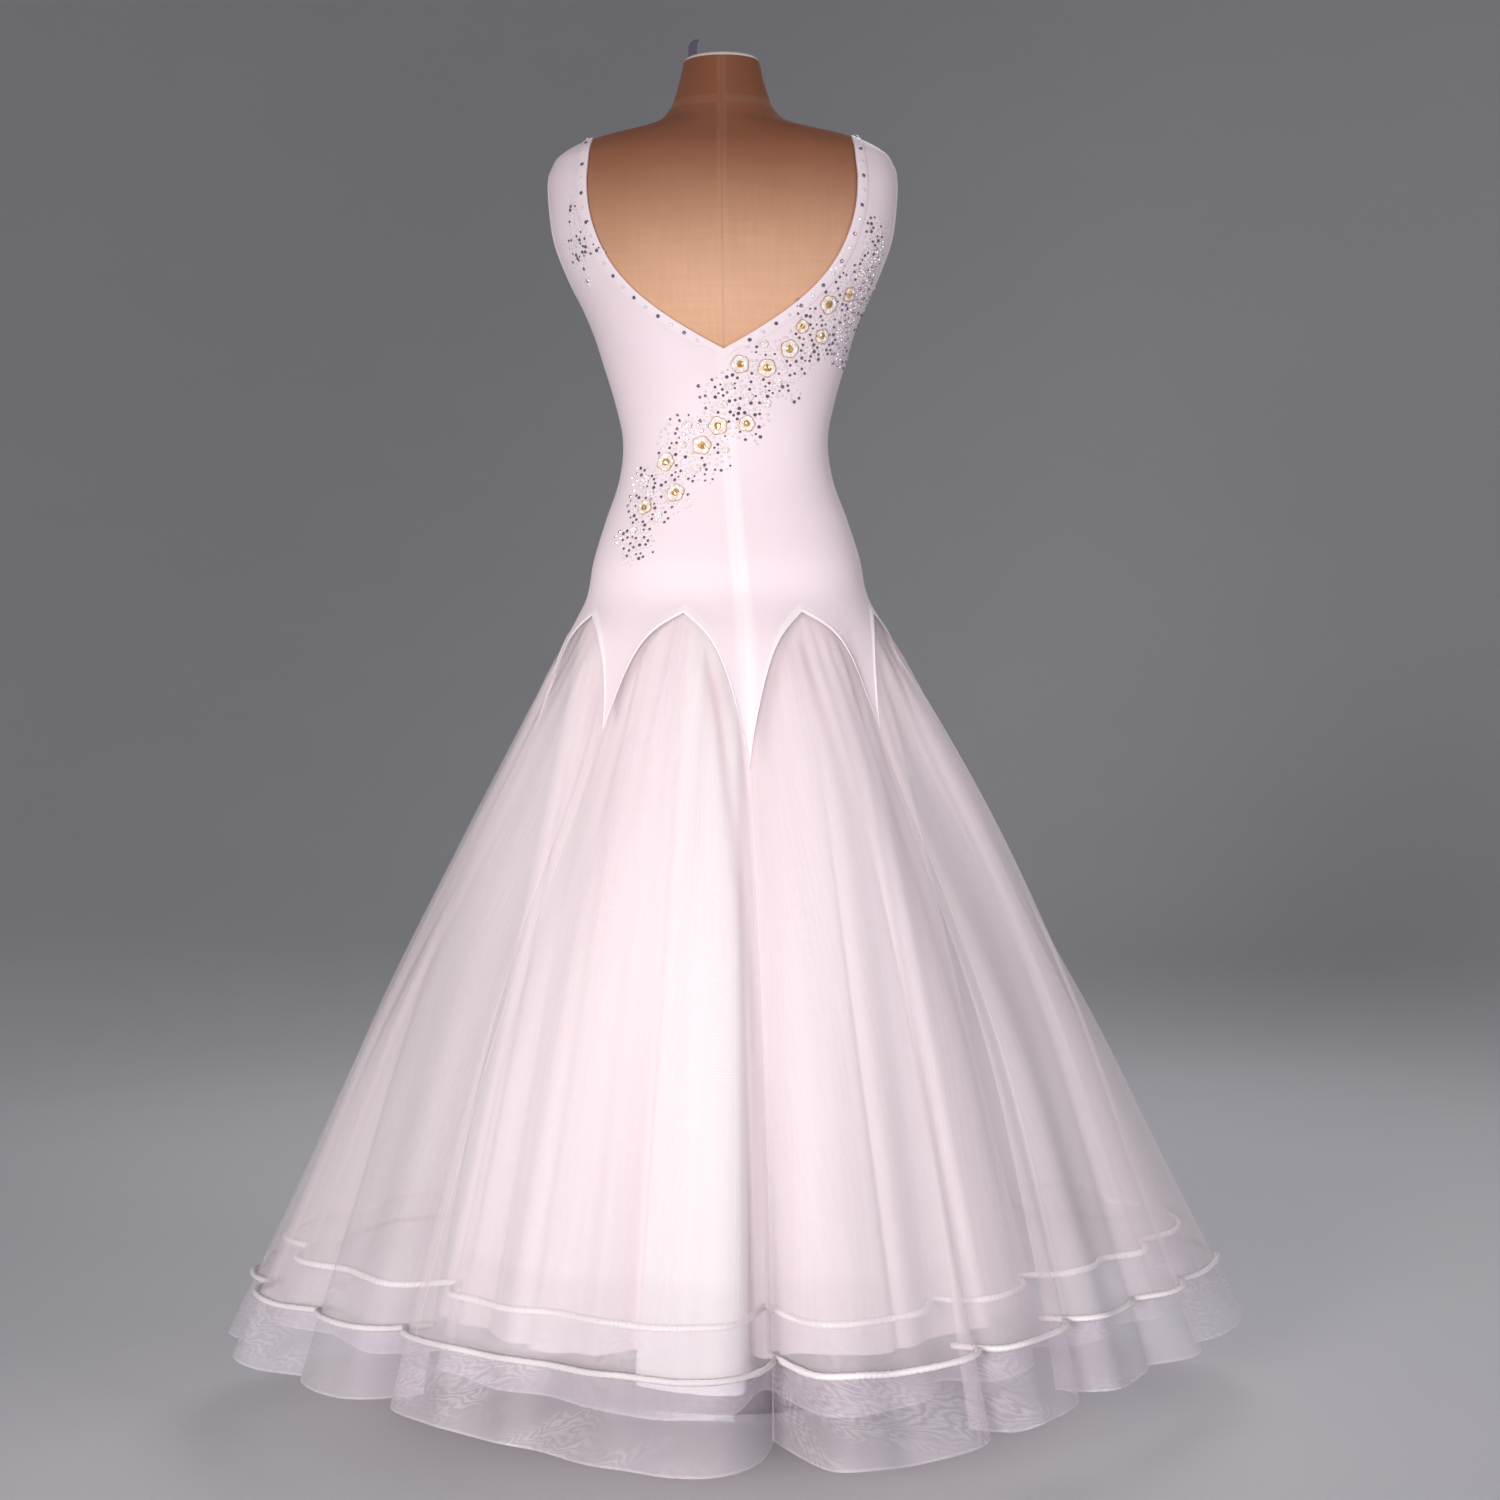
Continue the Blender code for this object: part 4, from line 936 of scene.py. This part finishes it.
flowers = {
    "petals": 5, "spacing": 0.0018, "bead": 0.0009, "beadLift": 0.0013, "lift": 0.0007, "layer": 0.0003,
    "nugget": 0.43, "nuggetLift": 0.0014, "reach": 1.04, "tone": 0.7, "seed": 5,
    # x, height and radius of the small florets
    "florets": np.array([
        [0.1435, 1.226, 0.0062], [0.13, 1.212, 0.0055], [0.0955, 1.187, 0.0058], [0.06, 1.15, 0.0056],
        [0.027, 1.134, 0.006], [-0.002, 1.126, 0.0056], [-0.042, 1.104, 0.006], [-0.033, 1.053, 0.0062],
        [-0.09, 1.043, 0.006], [-0.076, 1.0, 0.0055], [0.156, 1.276, 0.0052], [0.045, 1.192, 0.0054],
        [0.005, 1.146, 0.0052], [0.047, 1.127, 0.0054], [0.0, 1.074, 0.005], [-0.048, 1.081, 0.0052],
        [-0.085, 1.027, 0.005], [-0.104, 0.984, 0.0052]]),
}
stones = {
    # centre line of the scattered band down the back: x, height, half width of the band
    "band": np.array([
        [0.176, 1.338, 0.006], [0.17, 1.3, 0.012], [0.15, 1.255, 0.026], [0.118, 1.212, 0.03],
        [0.075, 1.178, 0.026], [0.03, 1.14, 0.034], [-0.012, 1.1, 0.036], [-0.056, 1.055, 0.034],
        [-0.086, 1.012, 0.026], [-0.102, 0.972, 0.018], [-0.112, 0.945, 0.006]]),
    "tries": 9000, "gap": 0.0051, "flowerGap": 0.0021, "radii": [0.0014, 0.0018, 0.0022],
    "radiusShares": [0.25, 0.5, 0.25], "lift": 0.0002, "seed": 11,
    "pearlGap": 0.0034, "pearlRadius": 0.0011, "pearlReach": 0.85, "pearlLift": 0.0008,
    "neckSpacing": 0.0175, "neckRadius": 0.0023, "neckStart": 0.004, "neckEnd": 0.955, "neckLift": 0.0016,
}
star = {
    "x": -0.165, "z": 1.31,
    # direction in degrees, length, half width
    "leaves": np.array([[88, 0.054, 0.0085], [52, 0.038, 0.0064], [168, 0.022, 0.0044],
                        [246, 0.03, 0.0054], [278, 0.05, 0.0062], [344, 0.042, 0.0062]]),
    "spacing": 0.0042, "gap": 0.0027, "radius": 0.0017, "middleRadius": 0.0034, "seed": 3,
}


def ringPoints(sides, rings):
    # one round ring of points for each radius and height
    angle = np.arange(sides) * math.tau / sides
    circle = np.stack([np.cos(angle), np.sin(angle), 0 * angle], -1)
    return np.concatenate([radius * circle + [0, 0, height] for radius, height in rings])


def stoneShape(sides=8):
    # a flat-backed stone of radius 1: a low girdle, a slanting crown and a flat table
    points = ringPoints(sides, ((0.96, 0.0), (1.0, 0.16), (0.56, 0.52)))
    lids = [list(range(sides))[::-1], list(range(2 * sides, 3 * sides))]
    return points, gridFaces(gridIds(3, sides)).tolist() + lids


def beadShape(sides=6):
    # a round bead of radius 1: two rings between two poles
    points = np.concatenate([ringPoints(sides, ((0.82, -0.5), (0.82, 0.5))), [[0, 0, -1.0], [0, 0, 1.0]]])
    low, high = gridIds(2, sides).tolist()
    faces = gridFaces(gridIds(2, sides)).tolist()
    faces += [[low[i + 1], low[i], 2 * sides] for i in range(sides)]
    return points, faces + [[high[i], high[i + 1], 2 * sides + 1] for i in range(sides)]


def framesAt(turn, z):
    # place, level tangent, upward tangent and normal of the dress at each (turn, height)
    normal = outward(dressPoint, turn, z)
    side = unit(np.cross([0, 0, 1.0], normal))
    return np.stack([dressPoint(turn, z), side, np.cross(normal, side), normal])


def backFrames(x, z):
    # the same at each (x, height) of the back
    return framesAt(onBack(x, z), z)


def copied(faces, count, size):
    # a shape's faces, once for each copy of its points
    return [[index + copy * size for index in face] for copy in range(count) for face in faces]


def addStones(name, shape, frames, radius, lift, finish, tone):
    # one copy of a shape at each place, in that place's own axes
    points, faces = shape
    places, sides, ups, normals = frames[:, :, None]
    radius, tone = (np.broadcast_to(each, len(places)) for each in (radius, tone))
    copies = places + normals * lift + radius[:, None, None] * (
        points[:, :1] * sides + points[:, 1:2] * ups + points[:, 2:] * normals)
    addPiece(name, copies.reshape(-1, 3), copied(faces, len(places), len(points)), [finish],
             marks={"tone": np.repeat(tone, len(points))}, flat=True)


def petalGrid(angle, radius):
    # one petal: from 0.2 of the radius to its rim, as wide as a sine arch, cupped at its sides and creased
    out = np.linspace(0, 1, 9)[:, None]
    across = np.linspace(-1, 1, 9)[None]
    reach = radius * (0.2 + 0.76 * out - 0.1 * across ** 2 * out)
    width = radius * 0.5 * np.sin(np.pi * (0.14 + 0.72 * out)) ** 0.8 * across
    height = 0.0006 + 0.0013 * across ** 2 * np.sin(np.pi * out) + 0.0022 * out * (1 - out)
    x, y = reach * np.cos(angle) - width * np.sin(angle), reach * np.sin(angle) + width * np.cos(angle)
    return x, y, height - 0.0004 * bell(across, 0.2)


def onCloth(centre, x, y, height):
    # a flower's own flat (x, y, height) laid on the back's cloth round its centre
    place, side, up = backFrames(*centre)[:3]
    moved = place + x[..., None] * side + y[..., None] * up
    turn = onBack(moved[..., 0], moved[..., 2])
    return raised(dressPoint, turn, moved[..., 2], height)


def flowerParts(centre, radius, beaded, chance):
    # petals, a gilt thread of beads round them, and a nugget in the middle, each as (points, faces, slot)
    parts, beads = [], []
    spin = chance.uniform(0, math.tau)
    for number in range(flowers["petals"]):
        angle = spin + math.tau * (number + chance.uniform(-0.08, 0.08)) / flowers["petals"]
        x, y, height = petalGrid(angle, radius * chance.uniform(0.93, 1.03))
        petal = onCloth(centre, x, y, height + flowers["lift"] + flowers["layer"] * (number % 2))
        parts.append((petal.reshape(-1, 3), gridFaces(gridIds(*x.shape, (0, 0)))[:, ::-1].tolist(), 0))
        flat = np.stack([x, y], -1)
        rim = np.concatenate([flat[2:, 0], flat[-1, 1:-1], flat[:1:-1, -1]])
        length = run(rim)
        steps = np.arange(0, length[-1], flowers["spacing"])
        beads.append(np.stack([np.interp(steps, length, rim[:, axis]) for axis in (0, 1)], -1))
    if beaded:
        x, y = np.concatenate(beads).T
        points, faces = beadShape()
        copies = onCloth(centre, x, y, flowers["beadLift"])[:, None] + points * flowers["bead"]
        parts.append((copies.reshape(-1, 3), copied(faces, len(x), len(points)), 1))
    points, faces = stoneShape()
    points = points * chance.uniform(0.82, 1.12, (len(points), 1)) * radius * flowers["nugget"]
    place, side, up, normal = backFrames(*centre)
    nugget = place + normal * flowers["nuggetLift"] + (
        points[:, :1] * side + points[:, 1:2] * up + points[:, 2:] * normal)
    parts.append((nugget, faces, 1 if beaded else 2))
    return parts


def addFlower(name, parts, finishes, node=None):
    points, faces, slots, start = [], [], [], 0
    for partPoints, partFaces, slot in parts:
        points.append(partPoints)
        faces += [[index + start for index in face] for face in partFaces]
        slots += [slot] * len(partFaces)
        start += len(partPoints)
    piece = addPiece(name, np.concatenate(points), faces, finishes, node,
                     marks={"tone": np.full(start, flowers["tone"])})
    piece.data.polygons.foreach_set("material_index", np.array(slots, np.int32))
    piece.data.set_sharp_from_angle(angle=math.radians(40))


def makeFlowers(finishes):
    # a beaded flower over each raised one, and small florets between them
    chance = np.random.default_rng(flowers["seed"])
    spots, parts = [], []
    for name in sorted(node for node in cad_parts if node.startswith("flower_")):
        low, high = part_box(name)
        x, z = (low[0] + high[0]) / 2, (low[2] + high[2]) / 2
        radius = (high[2] - low[2]) / 2 * flowers["reach"]
        addFlower("beaded_" + name, flowerParts((x, z), radius, True, chance), finishes, name)
        spots.append((x, z, radius))
    for x, z, radius in flowers["florets"]:
        parts += flowerParts((x, z), radius, False, chance)
        spots.append((x, z, radius))
    addFlower("small_florets", parts, finishes)
    print("flowers made:", len(spots))
    return np.array(spots)


def spaced(places, candidates, gap, others=()):
    # those of the candidates, in their order, that lie further than the gap from the others and each other
    kept = list(others)
    for index in candidates:
        if not kept or np.linalg.norm(places[kept] - places[index], axis=-1).min() > gap:
            kept.append(index)
    return kept[len(others):]


def makeBandStones(crystal, pearl, spots):
    # darts thrown over the band: each is kept where it is clear of the flowers and of the stones before it;
    # then small pearls fill the room between the stones, near the band's middle
    chance = np.random.default_rng(stones["seed"])
    band = stones["band"]
    along = run(band[:, :2])
    at = chance.uniform(0, along[-1], stones["tries"])
    x, z, half = (np.interp(at, along, band[:, column]) for column in range(3))
    before, after = (np.stack([np.interp(at + step, along, band[:, column]) for column in (0, 1)], -1)
                     for step in (-0.004, 0.004))
    heading = unit(after - before)
    ragged = 0.85 + 0.25 * np.sin(at * 95) + 0.15 * np.sin(at * 173 + 1)
    off = half * np.clip(chance.normal(0, 0.55, stones["tries"]), -1.2, 1.2) * ragged
    x, z = x - heading[:, 1] * off, np.clip(z + heading[:, 0] * off, 0.91, 1.4)
    frames = backFrames(x, z)
    places = frames[0]
    away = np.linalg.norm(places[:, None] - backFrames(spots[:, 0], spots[:, 1])[0], axis=-1)
    clear = (away > spots[:, 2] + stones["flowerGap"]).all(1)
    kept = spaced(places, np.flatnonzero(clear), stones["gap"])
    middle = np.flatnonzero(clear & (np.abs(off) < stones["pearlReach"] * half))
    pearls = spaced(places, middle, stones["pearlGap"], kept)
    addStones("back_pearls", beadShape(), frames[:, pearls], stones["pearlRadius"], stones["pearlLift"],
              pearl, 1)
    radius = chance.choice(stones["radii"], len(kept), p=stones["radiusShares"])
    tone = chance.uniform(0, 1, len(kept)) * 0.92
    addStones("back_stones", stoneShape(), frames[:, kept], radius, stones["lift"], crystal, tone)
    print("band stones:", len(kept), "pearls:", len(pearls))


def makeNeckStones(crystal):
    # stones set in the binding's middle, a step apart, from the mitre up to the shoulders
    turn, z = panel(bodice["back"], np.array([0.5 * bodice["bindingShare"]]))
    line = np.flatnonzero(z[:, 0] >= bodice["back"]["tip"] + stones["neckStart"])
    turn, z = turn[line, 0], z[line, 0]
    length = run(dressPoint(turn, z))
    steps = np.arange(stones["neckStart"], length[-1] * stones["neckEnd"], stones["neckSpacing"])
    turn, z = np.interp(steps, length, turn), np.interp(steps, length, z)
    frames = framesAt(np.append(turn, -turn), np.append(z, z))
    tone = np.where(np.arange(2 * len(z)) % 2 == 0, 0.2, 0.7)
    addStones("neck_stones", stoneShape(), frames, stones["neckRadius"], stones["neckLift"], crystal, tone)
    print("neck stones:", 2 * len(z))


def makeStar(crystal):
    # a spray of leaf outlines in small stones round one larger stone, on the left shoulder
    spots = []
    for direction, length, half in star["leaves"]:
        along = np.linspace(0.1, 1, max(6, int(length / star["spacing"])))
        width = half * np.sin(np.pi * along ** 0.8)
        turned = math.radians(direction)
        for sign in (-1, 0, 1):
            spots.append(np.stack([along * length * math.cos(turned) - sign * width * math.sin(turned),
                                   along * length * math.sin(turned) + sign * width * math.cos(turned)], -1))
    spots = np.concatenate(spots)
    spots = spots[spaced(spots, range(len(spots)), star["gap"])]
    middle = backFrames(star["x"], star["z"])
    moved = middle[0] + spots[:, :1] * middle[1] + spots[:, 1:] * middle[2]
    frames = backFrames(moved[:, 0], moved[:, 2])
    chance = np.random.default_rng(star["seed"])
    radius = chance.choice([0.8, 1.0, 1.25], len(spots)) * star["radius"]
    tone = chance.choice([0.2, 0.6, 0.7, 0.8], len(spots))
    addStones("shoulder_star", stoneShape(), np.concatenate([frames, middle[:, None]], 1),
              np.append(radius, star["middleRadius"]), stones["lift"], crystal, np.append(tone, 0.7))
    print("star stones:", len(spots) + 1)


studio = {
    "floor": 3.0, "sweep": 5.2, "tone": (0.7, 0.7, 0.72), "dark": 0.96,
    "air": (0.96, 0.96, 1.0, 1.0), "airStrength": 0.24,
    "eye": (0.0255, -3.2, 0.802), "lens": 66.2, "shift": -0.04, "roll": -0.6,
    # place, aim, width, spread in degrees, power, colour
    "lamps": [((-1.5, -3.6, 0.8), (0.0, 0, 0.56), 1.2, 46, 11.2, (1.0, 0.96, 0.95)),
              ((2.9, -2.2, 1.2), (0.1, 0, 0.45), 2.0, 80, 10, (0.98, 0.96, 1.0)),
              ((0.6, 2.8, 3.0), (0, 0, 1.0), 1.6, 150, 26, (0.97, 0.95, 1.0))],
}


def makeStage():
    # a flat round floor and the sweep that rises from it: radius and height follow a quarter circle
    bend = np.linspace(0, math.pi / 2, 48)
    radius = np.concatenate([[0.001, 1.5], studio["floor"] + studio["sweep"] * np.sin(bend)])[:, None]
    height = np.concatenate([[0, 0], studio["sweep"] * (1 - np.cos(bend))])[:, None]
    angle = np.linspace(0, math.tau, 97)
    grid = np.stack([radius * np.cos(angle), radius * np.sin(angle), height + 0 * angle], -1)
    finish = Finish("studio_paper", rough=0.9, specular=0.1)
    dark = tuple(studio["dark"] * each for each in studio["tone"])
    finish.tint(finish.noise(3.0, 3.0), dark, studio["tone"])
    addGrids("studio_floor", [grid], finish, None, None, closed=(0, 1), turned=True)


def makeLights():
    for number, (place, aim, width, spread, power, colour) in enumerate(studio["lamps"], 1):
        light = bpy.data.lights.new(f"softbox_{number}", "AREA")
        light.energy, light.size, light.color, light.spread = power, width, colour, math.radians(spread)
        lamp = linked(light.name, light)
        lamp.location = place
        lamp.visible_camera = False
        lamp.rotation_euler = (Vector(aim) - Vector(place)).to_track_quat("-Z", "Y").to_euler()
    world = bpy.data.worlds.new("studio_air")
    world.use_nodes = True
    background = world.node_tree.nodes["Background"]
    background.inputs["Color"].default_value = studio["air"]
    background.inputs["Strength"].default_value = studio["airStrength"]
    bpy.context.scene.world = world
    bpy.context.scene.view_settings.view_transform = "Standard"


def makeCamera():
    lens = bpy.data.cameras.new("view")
    lens.lens, lens.shift_y = studio["lens"], studio["shift"]
    camera = linked("view", lens)
    camera.location = studio["eye"]
    camera.rotation_euler = (math.radians(90), 0, 0)
    camera.rotation_euler.rotate_axis("Z", math.radians(studio["roll"]))
    bpy.context.scene.camera = camera


def main():
    makeStage()
    makeLights()
    makeCamera()
    print("studio made")
    jersey, crystal, petal = jerseyFinish(), crystalFinish(), petalFinish()
    makeForm()
    makeTape()
    finishNodes(boardFinish(), steelFinish())
    makeBodice(jersey)
    makeBinding(jersey)
    makeZip()
    makeSkirts(organzaFinish("organza", True), organzaFinish("under_organza", False), netFinish(),
               cordFinish(), satinFinish())
    spots = makeFlowers([petal, goldFinish(), crystal])
    makeBandStones(crystal, petal, spots)
    makeNeckStones(crystal)
    makeStar(crystal)


main()
